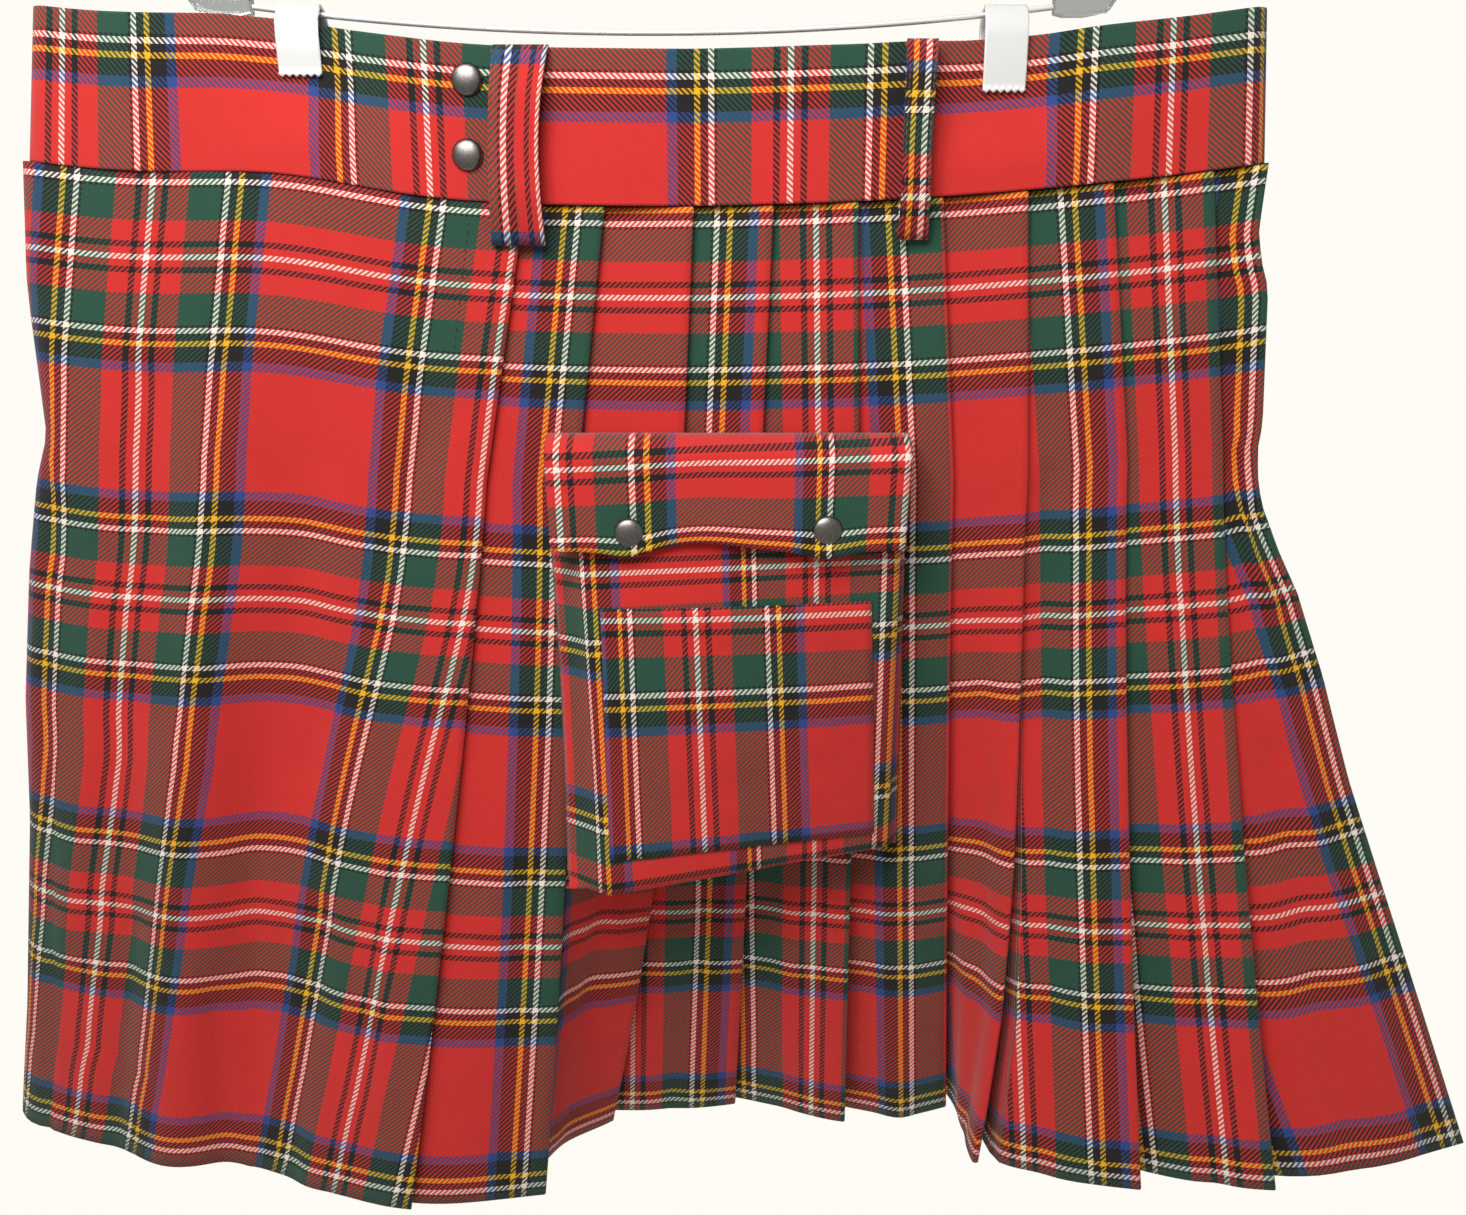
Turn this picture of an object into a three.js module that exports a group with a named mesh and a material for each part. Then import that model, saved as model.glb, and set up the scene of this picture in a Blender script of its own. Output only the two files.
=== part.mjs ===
// A pleated utility kilt hung flat on a clip hanger, seen from its side.
// Millimetres, +X to the right, +Y away from the viewer, +Z up.
// The origin is the saddle of the hanger's hook, where the hook rests on a rail.
// The cloth runs once round and overlaps: under apron inside, knife pleats across the front, round
// the right edge and across the back, then the over apron round the left edge to its free edge.
import * as THREE from 'three';

// Waistband: a flat loop whose top edge hangs lower in the middle than at its ends.
const WAIST_LEFT = -266;
const WAIST_RIGHT = 260;
const WAIST_HALF_DEPTH = 9.5;
const WAIST_TOP_MIDDLE = -141.5;
const WAIST_TOP_RISE = 17.5;
const LEFT_CLIP_LIFT = { x: -160, up: 6.5, along: 50 };
const BAND_HEIGHT = 62;
const BAND_WALL = 2.2;
const BAND_OVERLAP_INSET = 2.6;
const BAND_OVER_END_X = -57;
const BAND_UNDER_END_X = -110;

// Clips pinch the band's top: half depth at each clip, and how far down and along the pinch goes.
const CLIP_X = 147.5;
const PINCH_LEFT = 4.0;
const PINCH_RIGHT = 3.2;
const PINCH_DOWN = 50;
const PINCH_FLAT = 12.5;
const PINCH_ALONG = 18;
// Places across where the band's plan line has a point, besides its turns and ends.
const BAND_STATIONS = [-236, -210, -185, -160, -135, -112, -90, -72, -20, 5, 30, 55, 80, 107, 135, 160,
  185, 210, 232];

// Body cloth: length below the waistband, wall, and the rows it is worked out at.
const BODY_LENGTH = 458;
const CLOTH_WALL = 1.2;
const SEAM_GAP = 0.3;
const HIP = 120;
const ROWS = [0, 60, 120, 165, 210, 258, 305, 350, 390, 428, BODY_LENGTH];
const FOLD_GAP = 2;
const PLEAT_CLOTH = 114;
const DEPTH_POWER = 1.4;

// Knife pleats in the order the cloth runs. Each row is one fold edge: x at the seam, at the hip and
// at the hem, y at the hem, how far the next panel starts inside the fold at the hem, how far the
// panel that ends here bows outward at two places at the hem and at the seam, and how its x grows.
const FOLDS = [
  { name: 'p2', seam: -22, hip: -37, hem: -58, hemY: -33, step: 8, bowA: 2, bowB: 1, flare: 1.4 },
  { name: 'p3', seam: 16, hip: 10, hem: -30, hemY: 22, step: 9, bowA: -11, bowB: -7, flare: 1.7 },
  { name: 'p4', seam: 50, hip: 45, hem: 34, hemY: 37, step: 6, bowA: 1, bowB: 1, flare: 1.3 },
  { name: 'p5', seam: 86, hip: 89, hem: 92, hemY: 25, step: 12, bowA: 0, bowB: 1, flare: 1.3 },
  { name: 'p6', seam: 122, hip: 131, hem: 146, hemY: 27, step: 12, bowA: 1, bowB: 1, flare: 1.3 },
  { name: 'p7', seam: 158, hip: 164, hem: 152, hemY: -21, step: 13, bowA: -3, bowB: -1, flare: 1.8 },
  { name: 'p8', seam: 194, hip: 208, hem: 225, hemY: -47, step: 16, bowA: 3, bowB: 2, flare: 1.2 },
  { name: 'p9', seam: 236, hip: 250, hem: 284, hemY: -56, step: 12, bowA: 2, bowB: 2, flare: 1.1 },
  { name: 'p10', seam: 259, hip: 269, hem: 379, hemY: -40, step: 8, bowA: 6, bowB: 3, flare: 1.05 },
  { name: 'p11', seam: 227, hip: 230, hem: 330, hemY: 53, step: 8, bowA: 20, bowB: 14, flare: 1.1,
    seamBowA: 5, seamBowB: 3 },
  { name: 'p12', seam: 191, hip: 191, hem: 281, hemY: 64, step: 10, bowA: 2, bowB: 2, flare: 1.2 },
  { name: 'p13', seam: 155, hip: 153, hem: 229, hemY: 58, step: 8, bowA: 1, bowB: 2, flare: 1.2 },
  { name: 'p14', seam: 119, hip: 115, hem: 178, hemY: 69, step: 11, bowA: 2, bowB: 1, flare: 1.2 },
  { name: 'p15', seam: 83, hip: 78, hem: 127, hemY: 62, step: 8, bowA: 1, bowB: 2, flare: 1.2 },
  { name: 'p16', seam: 47, hip: 41, hem: 76, hemY: 71, step: 10, bowA: 2, bowB: 1, flare: 1.2 },
  { name: 'p17', seam: 11, hip: 4, hem: 25, hemY: 64, step: 8, bowA: 1, bowB: 2, flare: 1.2 },
  { name: 'p18', seam: -25, hip: -33, hem: -27, hemY: 69, step: 9, bowA: 2, bowB: 2, flare: 1.2 },
];
const FRONT_FOLD_COUNT = 9;

// Over apron: free edge at the front, fixed edge at the back, and the left edge between them.
const APRON_FREE_EDGE = { seam: -55, hip: -76, hem: -118, hemY: -48, flare: 1.2 };
const APRON_FIXED_EDGE = { seam: -57, hip: -66, hem: -78, hemY: 61, flare: 1.2 };
const LEFT_EDGE = [
  { down: 0, x: -267 }, { down: 60, x: -275 }, { down: 165, x: -278 }, { down: 258, x: -300 },
  { down: 350, x: -313 }, { down: 400, x: -320 }, { down: BODY_LENGTH, x: -331 },
];
const LEFT_TURN = { hemFront: -6, hemBack: 46, seamWide: WAIST_HALF_DEPTH, hemWide: 24 };
// Soft waves across the apron: place from the free edge (0) to the left edge (1), and how far out.
const APRON_WAVES = [
  { place: 0.06, out: 3 }, { place: 0.44, out: -8 }, { place: 0.66, out: 8 }, { place: 0.9, out: 2 },
];
const WAVE_WIDTH = 0.11;
const UNDER_APRON_INSET = { seam: 3, hem: 5 };
const UNDER_APRON_END_X = -110;

// Belt loops: centre x, width, which side (-1 front, +1 back), how far they stand off the band.
const LOOPS = [
  { name: 'belt_loop_wide', x: -54, width: 22, side: -1 },
  { name: 'belt_loop_narrow', x: 112, width: 15, side: -1 },
  { name: 'belt_loop_back_right', x: 100, width: 15, side: 1 },
  { name: 'belt_loop_back_left', x: -117, width: 15, side: 1 },
];
const LOOP_STAND_OFF = 6.6;
const LOOP_WALL = 1.6;
const LOOP_BELOW_SEAM = 17;

// Snaps: domed caps. The waist pair sits on the band's over end.
const SNAP_RADIUS = 6.6;
const SNAP_HEIGHT = 3;
const WAIST_SNAPS = [{ x: -77, z: -153.6 }, { x: -78, z: -183.3 }];
const POCKET_SNAPS = [{ across: 0.25, down: 0.72 }, { across: 0.8, down: 0.7 }];

// Cargo pocket: corners of its front panel, its depth at them, how much farther out its back panel
// reaches on each side, and the flap above it.
const POCKET = {
  top: { z: -314, left: -36, right: 97, front: -23, depth: 12 },
  bottomLeft: { x: -22, y: -45, z: -502, depth: 16 },
  bottomRight: { x: 101, y: -11, z: -493, depth: 11.5 },
  wall: 1.3, power: 1.5,
  spread: { left: 14, leftFoot: 20, right: 13, rightFoot: 11 },
};
const FLAP = { left: -48, right: 111, top: -300, drop: 49, wall: 2, root: -11.2, front: -26.4,
  bendEnds: 0.2, curl: 1.2, lean: 1.8 };
const PATCH = { acrossFrom: 0.07, acrossTo: 0.96, downFrom: 0.325, downTo: 0.905, wall: 1.2 };

// Hanger: hook wire, clear arms, bar wire and clips.
const HOOK_INNER_RADIUS = 22;
const HOOK_WIRE = 3.6;
const NECK_TOP = -62;
const ARM_END_X = 194;
const ARM_DEPTH = 8;
const BAR_WIRE = 2.4;
const BAR_MIDDLE = -133;
const BAR_RISE = 10;
const BAR_END_X = 167.5;
const CLIP_WIDTH = 18;
const CLIP_SHEET = 1.2;
const CLIP_GRIP = 22;

const { lerp } = THREE.MathUtils;
const add = (p, n, d) => new THREE.Vector2(p.x + n.x * d, p.y + n.y * d);
const leftOf = (t) => new THREE.Vector2(-t.y, t.x);

// Height of the waistband's top edge, and of the seam below it, at a place across.
function bandTop(x) {
  const lift = LEFT_CLIP_LIFT.up * Math.exp(-(((x - LEFT_CLIP_LIFT.x) / LEFT_CLIP_LIFT.along) ** 2));
  return WAIST_TOP_MIDDLE + WAIST_TOP_RISE * (x / WAIST_RIGHT) ** 2 + lift;
}
function seamHeight(x) {
  return bandTop(x) - BAND_HEIGHT - SEAM_GAP;
}

// How far a row has come from the hip to the hem, 0 to 1.
function belowHip(down) {
  return Math.max(0, (down - HIP) / (BODY_LENGTH - HIP));
}

// An edge that runs from the seam by the hip to the hem: its plan point at one row.
function edgeAt(edge, down, restY) {
  const t = belowHip(down);
  const upper = lerp(edge.seam, edge.hip, Math.min(1, down / HIP));
  const x = upper + (edge.hem - edge.hip) * t ** edge.flare;
  return new THREE.Vector2(x, restY + (edge.hemY - restY) * t ** DEPTH_POWER);
}

function fromTable(table, down) {
  const next = Math.max(1, table.findIndex((row) => row.down >= down));
  const a = table[next - 1];
  const b = table[next];
  return lerp(a.x, b.x, (down - a.down) / (b.down - a.down));
}

// Mitred normals, to the left of travel, at each point of a plan line.
function mitres(line) {
  return line.map((p, i) => {
    const before = line[Math.max(0, i - 1)];
    const after = line[Math.min(line.length - 1, i + 1)];
    const a = leftOf(p.clone().sub(before).normalize());
    const b = leftOf(after.clone().sub(p).normalize());
    const sum = a.clone().add(b);
    if (i === 0) return b;
    if (i === line.length - 1) return a;
    const mid = sum.normalize();
    return mid.multiplyScalar(1 / Math.max(0.6, mid.dot(a)));
  });
}

// A point a given length back from a line's end, with the line's left normal there.
function backFromEnd(line, length) {
  let left = length;
  for (let i = line.length - 1; i > 0; i -= 1) {
    const a = line[i - 1];
    const b = line[i];
    const span = a.distanceTo(b);
    const along = b.clone().sub(a).normalize();
    if (left <= span || i === 1) return { point: add(b, along, -left), normal: leftOf(along) };
    left -= span;
  }
  return null;
}

// The over apron's plan line at one row, from its free edge round the left edge to its fixed edge.
function apronLine(down) {
  const t = belowHip(down);
  const share = down / BODY_LENGTH;
  const free = edgeAt(APRON_FREE_EDGE, down, -WAIST_HALF_DEPTH);
  const fixed = edgeAt(APRON_FIXED_EDGE, down, WAIST_HALF_DEPTH);
  const wide = lerp(LEFT_TURN.seamWide, LEFT_TURN.hemWide, share);
  const front = lerp(-WAIST_HALF_DEPTH, LEFT_TURN.hemFront, t);
  const back = lerp(WAIST_HALF_DEPTH, LEFT_TURN.hemBack, t ** 1.1);
  const turnX = fromTable(LEFT_EDGE, down) + wide;
  const amount = Math.min(1, Math.max(0, (down - 60) / 200)) * lerp(1, 0.7, t);
  const line = [];
  const frontSteps = 12;
  for (let i = 0; i < frontSteps; i += 1) {
    const u = i / frontSteps;
    const out = APRON_WAVES.reduce(
      (sum, wave) => sum + wave.out * Math.exp(-(((u - wave.place) / WAVE_WIDTH) ** 2)), 0);
    line.push(new THREE.Vector2(lerp(free.x, turnX, u), lerp(free.y, front, u) - out * amount));
  }
  const turnSteps = 7;
  for (let i = 0; i <= turnSteps; i += 1) {
    const angle = -Math.PI / 2 - (Math.PI * i) / turnSteps;
    const middle = (front + back) / 2;
    const half = (back - front) / 2;
    line.push(new THREE.Vector2(turnX + wide * Math.cos(angle), middle + half * Math.sin(angle)));
  }
  const backSteps = 6;
  for (let i = 1; i <= backSteps; i += 1) {
    const u = i / backSteps;
    const swell = 5 * t * Math.sin(2 * Math.PI * u);
    line.push(new THREE.Vector2(lerp(turnX, fixed.x, u), lerp(back, fixed.y, u) + swell));
  }
  return line;
}

// The same line moved inside the apron, where the under apron lies.
function underLine(down) {
  const line = apronLine(down);
  const normals = mitres(line);
  const inset = lerp(UNDER_APRON_INSET.seam, UNDER_APRON_INSET.hem, belowHip(down));
  return line.map((p, i) => add(p, normals[i], -inset));
}

// The pleated cloth's plan line at one row. The returned marks say where each fold's inner end is.
function pleatLine(down) {
  const t = belowHip(down);
  const under = underLine(down);
  const toStart = under[0].clone().sub(under[1]).normalize();
  const line = [add(under[1], toStart, 0.2)];
  const marks = [];
  let start = under[0];
  FOLDS.forEach((fold, index) => {
    const restY = index < FRONT_FOLD_COUNT ? -WAIST_HALF_DEPTH : WAIST_HALF_DEPTH;
    const end = edgeAt(fold, down, restY);
    const chord = end.clone().sub(start);
    const out = leftOf(chord.clone().normalize()).negate();
    const bowA = lerp(fold.seamBowA ?? 0, fold.bowA, t);
    const bowB = lerp(fold.seamBowB ?? 0, fold.bowB, t);
    const panel = [start, add(start.clone().addScaledVector(chord, 0.35), out, bowA),
      add(start.clone().addScaledVector(chord, 0.7), out, bowB), end];
    const length = chord.length();
    const hidden = Math.max(7, Math.min(length * 0.6, (PLEAT_CLOTH - length) / 2));
    const step = lerp(2 * FOLD_GAP, fold.step, t ** 1.5);
    const first = FOLD_GAP + (step - 2 * FOLD_GAP) * 0.25;
    const edge = backFromEnd(panel, 0);
    const half = backFromEnd(panel, hidden / 2);
    const inner = backFromEnd(panel, hidden);
    const next = add(end, edge.normal, step);
    line.push(...panel, add(end, edge.normal, FOLD_GAP), add(half.point, half.normal, first),
      add(inner.point, inner.normal, first));
    marks.push(line.length);
    line.push(add(inner.point, inner.normal, first + FOLD_GAP),
      add(half.point, half.normal, lerp(first + FOLD_GAP, step, 0.5)));
    start = next;
  });
  const fixed = edgeAt(APRON_FIXED_EDGE, down, WAIST_HALF_DEPTH);
  const toFixed = fixed.clone().sub(start).normalize();
  line.push(start, start.clone().lerp(fixed, 0.5), add(fixed, toFixed, -0.35));
  return { line, marks };
}

// Cloth keeps its length: each column's height falls by what is left of the row's length.
function lower(lines) {
  const heights = lines[0].map((p) => seamHeight(p.x));
  return lines.map((line, row) => line.map((p, i) => {
    if (row > 0) {
      const before = lines[row - 1][i];
      const run = ROWS[row] - ROWS[row - 1];
      const across = p.distanceTo(before);
      heights[i] -= Math.sqrt(Math.max(0.25 * run * run, run * run - across * across));
    }
    return new THREE.Vector3(p.x, p.y, heights[i]);
  }));
}

// A closed wall over a grid of points: each point moved both ways along its normal.
function shell(grid, normals, wall) {
  const rows = grid.length;
  const columns = grid[0].length;
  const positions = [];
  [0.5, -0.5].forEach((side) => grid.forEach((line, r) => line.forEach((p, c) => {
    const n = normals[r][c];
    positions.push(p.x + n.x * wall * side, p.y + n.y * wall * side, p.z + n.z * wall * side);
  })));
  const id = (side, r, c) => side * rows * columns + r * columns + c;
  const index = [];
  const quad = (a, b, c, d) => index.push(a, b, c, a, c, d);
  for (let r = 0; r < rows - 1; r += 1) {
    for (let c = 0; c < columns - 1; c += 1) {
      quad(id(0, r, c), id(0, r + 1, c), id(0, r + 1, c + 1), id(0, r, c + 1));
      quad(id(1, r, c), id(1, r, c + 1), id(1, r + 1, c + 1), id(1, r + 1, c));
    }
    quad(id(0, r, 0), id(1, r, 0), id(1, r + 1, 0), id(0, r + 1, 0));
    const e = columns - 1;
    quad(id(0, r, e), id(0, r + 1, e), id(1, r + 1, e), id(1, r, e));
  }
  for (let c = 0; c < columns - 1; c += 1) {
    quad(id(0, 0, c), id(0, 0, c + 1), id(1, 0, c + 1), id(1, 0, c));
    const e = rows - 1;
    quad(id(0, e, c), id(1, e, c), id(1, e, c + 1), id(0, e, c + 1));
  }
  return closedGeometry(positions, index);
}

// A geometry from points and triangles, turned so that its faces point out.
function closedGeometry(positions, index) {
  const v = (i) => new THREE.Vector3(positions[3 * i], positions[3 * i + 1], positions[3 * i + 2]);
  let volume = 0;
  for (let i = 0; i < index.length; i += 3) {
    volume += v(index[i]).dot(v(index[i + 1]).cross(v(index[i + 2])));
  }
  if (volume < 0) {
    for (let i = 0; i < index.length; i += 3) {
      [index[i + 1], index[i + 2]] = [index[i + 2], index[i + 1]];
    }
  }
  const geometry = new THREE.BufferGeometry();
  geometry.setAttribute('position', new THREE.Float32BufferAttribute(positions, 3));
  geometry.setIndex(index);
  geometry.computeVertexNormals();
  return geometry;
}

// A hanging cloth wall from its plan lines, one for each row; its thickness is level.
function hangingCloth(lines, wall) {
  const normals = lines.map((line) => mitres(line).map((n) => new THREE.Vector3(n.x, n.y, 0)));
  return shell(lower(lines), normals, wall);
}

// Normals of a smooth grid of points, from its neighbours.
function gridNormals(grid) {
  return grid.map((line, r) => line.map((p, c) => {
    const a = grid[Math.min(grid.length - 1, r + 1)][c].clone();
    a.sub(grid[Math.max(0, r - 1)][c]);
    const b = line[Math.min(line.length - 1, c + 1)].clone().sub(line[Math.max(0, c - 1)]);
    return b.cross(a).normalize();
  }));
}

// The waistband's half depth, pinched at the top beside each clip.
function bandHalfDepth(x, downBand) {
  const beyond = Math.max(0, Math.abs(Math.abs(x) - CLIP_X) - PINCH_FLAT);
  const near = Math.exp(-((beyond / PINCH_ALONG) ** 2));
  const pinched = x < 0 ? PINCH_LEFT : PINCH_RIGHT;
  const fade = Math.max(0, 1 - Math.max(0, downBand - CLIP_GRIP) / (PINCH_DOWN - CLIP_GRIP));
  return lerp(WAIST_HALF_DEPTH, pinched, near * fade);
}

// The waistband's plan line at one height: a spiral, under end first.
function bandLine(downBand) {
  const line = [];
  const straight = (from, to, side, insetAt) => {
    const between = BAND_STATIONS.filter((x) => (x - from) * (x - to) < 0);
    const order = from < to ? between : between.reverse();
    order.forEach((x) => line.push(
      new THREE.Vector2(x, side * (bandHalfDepth(x, downBand) - insetAt(x)))));
  };
  const station = (x, side, inset) => line.push(
    new THREE.Vector2(x, side * (bandHalfDepth(x, downBand) - inset)));
  const turn = (centre, away, side, inset) => {
    const radius = WAIST_HALF_DEPTH - inset;
    for (let i = 0; i <= 6; i += 1) {
      const angle = (Math.PI * i) / 6;
      line.push(new THREE.Vector2(centre + away * radius * Math.sin(angle),
        side * radius * Math.cos(angle)));
    }
  };
  const leftCentre = WAIST_LEFT + WAIST_HALF_DEPTH;
  const rightCentre = WAIST_RIGHT - WAIST_HALF_DEPTH;
  const inside = () => BAND_OVERLAP_INSET;
  const outside = () => 0;
  station(BAND_UNDER_END_X, 1, BAND_OVERLAP_INSET);
  straight(BAND_UNDER_END_X, leftCentre, 1, inside);
  turn(leftCentre, -1, 1, BAND_OVERLAP_INSET);
  straight(leftCentre, BAND_OVER_END_X, -1, inside);
  station(BAND_OVER_END_X + 2, -1, BAND_OVERLAP_INSET);
  station(BAND_OVER_END_X + 8, -1, BAND_OVERLAP_INSET / 2);
  station(BAND_OVER_END_X + 14, -1, 0);
  straight(BAND_OVER_END_X + 14, rightCentre, -1, outside);
  turn(rightCentre, 1, -1, 0);
  straight(rightCentre, leftCentre, 1, outside);
  turn(leftCentre, -1, 1, 0);
  straight(leftCentre, BAND_OVER_END_X, -1, outside);
  station(BAND_OVER_END_X, -1, 0);
  return line;
}

function waistband() {
  const rows = [0, 12, CLIP_GRIP, 36, PINCH_DOWN, BAND_HEIGHT];
  const lines = rows.map(bandLine);
  const grid = lines.map((line, r) => line.map(
    (p) => new THREE.Vector3(p.x, p.y, bandTop(p.x) - rows[r])));
  const normals = lines.map((line) => mitres(line).map((n) => new THREE.Vector3(n.x, n.y, 0)));
  return shell(grid, normals, BAND_WALL);
}

// A belt loop: a strip that leaves the band near its top, stands off and comes back below the seam.
function beltLoop(loop) {
  const steps = 12;
  const length = BAND_HEIGHT + LOOP_BELOW_SEAM;
  const bandAt = (down) => Math.max(bandHalfDepth(loop.x - loop.width / 2, down),
    bandHalfDepth(loop.x + loop.width / 2, down));
  const grid = [];
  for (let i = 0; i <= steps; i += 1) {
    const u = i / steps;
    const off = LOOP_STAND_OFF * Math.min(1, 1.25 * Math.sin(Math.PI * u) ** 0.7);
    const seat = bandAt(u * length) + BAND_WALL / 2 + SEAM_GAP + LOOP_WALL / 2;
    grid.push([-0.5, 0.5].map((across) => {
      const x = loop.x + across * loop.width;
      return new THREE.Vector3(x, loop.side * (seat + off), bandTop(loop.x) - u * length);
    }));
  }
  return shell(grid, gridNormals(grid), LOOP_WALL);
}

// A snap's cap, its dome toward the viewer.
function snapCap() {
  const profile = [[0, 0], [SNAP_RADIUS, 0], [SNAP_RADIUS, 0.9], [5.9, 1.5], [5.4, 1.4], [4.4, 2.3],
    [2.4, 2.85], [0, SNAP_HEIGHT]].map(([r, y]) => new THREE.Vector2(r, y));
  return new THREE.LatheGeometry(profile, 24).rotateX(Math.PI);
}

// The pocket's front panel: across 0 to 1 from left to right, down 0 to 1 from the open top.
function pocketFront(across, down) {
  const swing = down ** POCKET.power;
  const x = lerp(lerp(POCKET.top.left, POCKET.bottomLeft.x, down),
    lerp(POCKET.top.right, POCKET.bottomRight.x, down), across);
  const y = POCKET.top.front + swing * (lerp(POCKET.bottomLeft.y, POCKET.bottomRight.y, across)
    - POCKET.top.front);
  const z = lerp(POCKET.top.z, lerp(POCKET.bottomLeft.z, POCKET.bottomRight.z, across), down);
  return new THREE.Vector3(x, y, z);
}
function pocketDepth(across, down) {
  return lerp(POCKET.top.depth, lerp(POCKET.bottomLeft.depth, POCKET.bottomRight.depth, across),
    down);
}

// The pocket's body: front, two gussets, back and bottom as one wall, open at the top.
function pocketBody() {
  const ring = (down, inset) => {
    const points = [];
    const side = inset / (POCKET.top.right - POCKET.top.left);
    const spot = (across, deep) => {
      const u = lerp(side, 1 - side, across);
      const p = pocketFront(u, down);
      const depth = pocketDepth(u, down);
      const { spread } = POCKET;
      const wider = lerp(-lerp(spread.left, spread.leftFoot, down),
        lerp(spread.right, spread.rightFoot, down), u);
      return new THREE.Vector3(p.x + wider * deep, p.y + lerp(inset, depth - inset, deep), p.z);
    };
    [0, 0.04, 0.28, 0.52, 0.76, 0.96].forEach((a) => points.push(spot(a, a === 0 ? 0.12 : 0)));
    points.push(spot(1, 0.12), spot(1, 0.5), spot(1, 0.88));
    [0.96, 0.76, 0.52, 0.28, 0.04].forEach((a) => points.push(spot(a, 1)));
    points.push(spot(0, 0.88), spot(0, 0.5));
    return points;
  };
  const height = POCKET.top.z - POCKET.bottomLeft.z;
  const rows = [0, 0.15, 0.3, 0.45, 0.6, 0.75, 0.9, 1];
  const floor = 1 - POCKET.wall / height;
  const outer = rows.map((down) => ring(down, 0));
  const inner = rows.map((down) => ring(Math.min(down, floor), POCKET.wall));
  const count = outer[0].length;
  const all = [...outer, ...[...inner].reverse()];
  const positions = all.flat().flatMap((p) => [p.x, p.y, p.z]);
  const index = [];
  const last = all.length;
  const id = (r, c) => r * count + ((c + count) % count);
  for (let r = 0; r < last; r += 1) {
    if (r === rows.length - 1) continue;
    const next = (r + 1) % last;
    for (let c = 0; c < count; c += 1) {
      index.push(id(r, c), id(next, c), id(next, c + 1), id(r, c), id(next, c + 1), id(r, c + 1));
    }
  }
  [[rows.length - 1, 1], [rows.length, -1]].forEach(([r, way]) => {
    const ringPoints = all[r];
    const centre = ringPoints.reduce((sum, p) => sum.add(p), new THREE.Vector3());
    centre.divideScalar(count);
    const middle = positions.length / 3;
    positions.push(centre.x, centre.y, centre.z);
    for (let c = 0; c < count; c += 1) {
      if (way > 0) index.push(id(r, c), middle, id(r, c + 1));
      else index.push(id(r, c + 1), middle, id(r, c));
    }
  });
  return closedGeometry(positions, index);
}

// The flap: sewn along its top, bent over the pocket's mouth, its bottom edge curling at the snaps.
function flapPoint(across, down) {
  const bend = Math.min(1, down / FLAP.bendEnds);
  const reach = Math.sin((bend * Math.PI) / 2) ** 0.8;
  const narrow = 1 - 0.03 * down;
  const centre = (FLAP.left + FLAP.right) / 2;
  const x = centre + (lerp(FLAP.left, FLAP.right, across) - centre) * narrow;
  const curl = FLAP.curl * down ** 3 * (1 + Math.cos(3 * Math.PI * across)) + FLAP.lean * down;
  const sag = 3.5 * Math.exp(-(((across - 0.42) / 0.16) ** 2)) * down;
  return new THREE.Vector3(x, lerp(FLAP.root, FLAP.front, reach) - curl,
    FLAP.top - FLAP.drop * down + sag);
}
function pocketFlap() {
  const rows = [0, 0.05, 0.1, 0.15, 0.2, 0.45, 0.75, 1];
  const columns = Array.from({ length: 15 }, (unused, i) => i / 14);
  const grid = rows.map((down) => columns.map((across) => flapPoint(across, down)));
  return shell(grid, gridNormals(grid), FLAP.wall);
}

// The patch pocket: the front panel's own points, moved out clear of its wall.
function patchPocket() {
  const rows = Array.from({ length: 8 }, (unused, i) => lerp(PATCH.downFrom, PATCH.downTo, i / 7));
  const columns = [0, 0.25, 0.5, 0.75, 1].map((u) => lerp(PATCH.acrossFrom, PATCH.acrossTo, u));
  const grid = rows.map((down) => columns.map((across) => {
    const p = pocketFront(across, down);
    return p.setY(p.y - SEAM_GAP - PATCH.wall / 2 - 0.25);
  }));
  return shell(grid, gridNormals(grid), PATCH.wall);
}

function barHeight(x) {
  return BAR_MIDDLE + BAR_RISE * (x / BAR_END_X) ** 2;
}

// A round wire along a curve, closed at both ends.
function wire(curve, diameter, steps, sides) {
  const section = new THREE.Shape();
  for (let i = 0; i < sides; i += 1) {
    const angle = (2 * Math.PI * i) / sides;
    const x = (diameter / 2) * Math.cos(angle);
    const y = (diameter / 2) * Math.sin(angle);
    if (i === 0) section.moveTo(x, y);
    else section.lineTo(x, y);
  }
  section.closePath();
  return new THREE.ExtrudeGeometry(section, { steps, extrudePath: curve, curveSegments: 1 });
}

// The hook: straight up out of the neck, then round its saddle to an open end on the left.
function hangerHook() {
  const radius = HOOK_INNER_RADIUS + HOOK_WIRE / 2;
  const points = [new THREE.Vector3(0, 0, NECK_TOP + SEAM_GAP), new THREE.Vector3(0, 0, -56),
    new THREE.Vector3(3.5, 0, -50)];
  for (let degrees = -55; degrees <= 205; degrees += 20) {
    const angle = THREE.MathUtils.degToRad(degrees);
    points.push(new THREE.Vector3(radius * Math.cos(angle), 0,
      radius * Math.sin(angle) - HOOK_INNER_RADIUS));
  }
  return wire(new THREE.CatmullRomCurve3(points), HOOK_WIRE, 44, 10);
}

function hangerBar() {
  const points = [];
  for (let i = 0; i <= 8; i += 1) {
    const x = lerp(-BAR_END_X, BAR_END_X, i / 8);
    points.push(new THREE.Vector3(x, 0, barHeight(x)));
  }
  return wire(new THREE.CatmullRomCurve3(points), BAR_WIRE, 24, 8);
}

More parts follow.
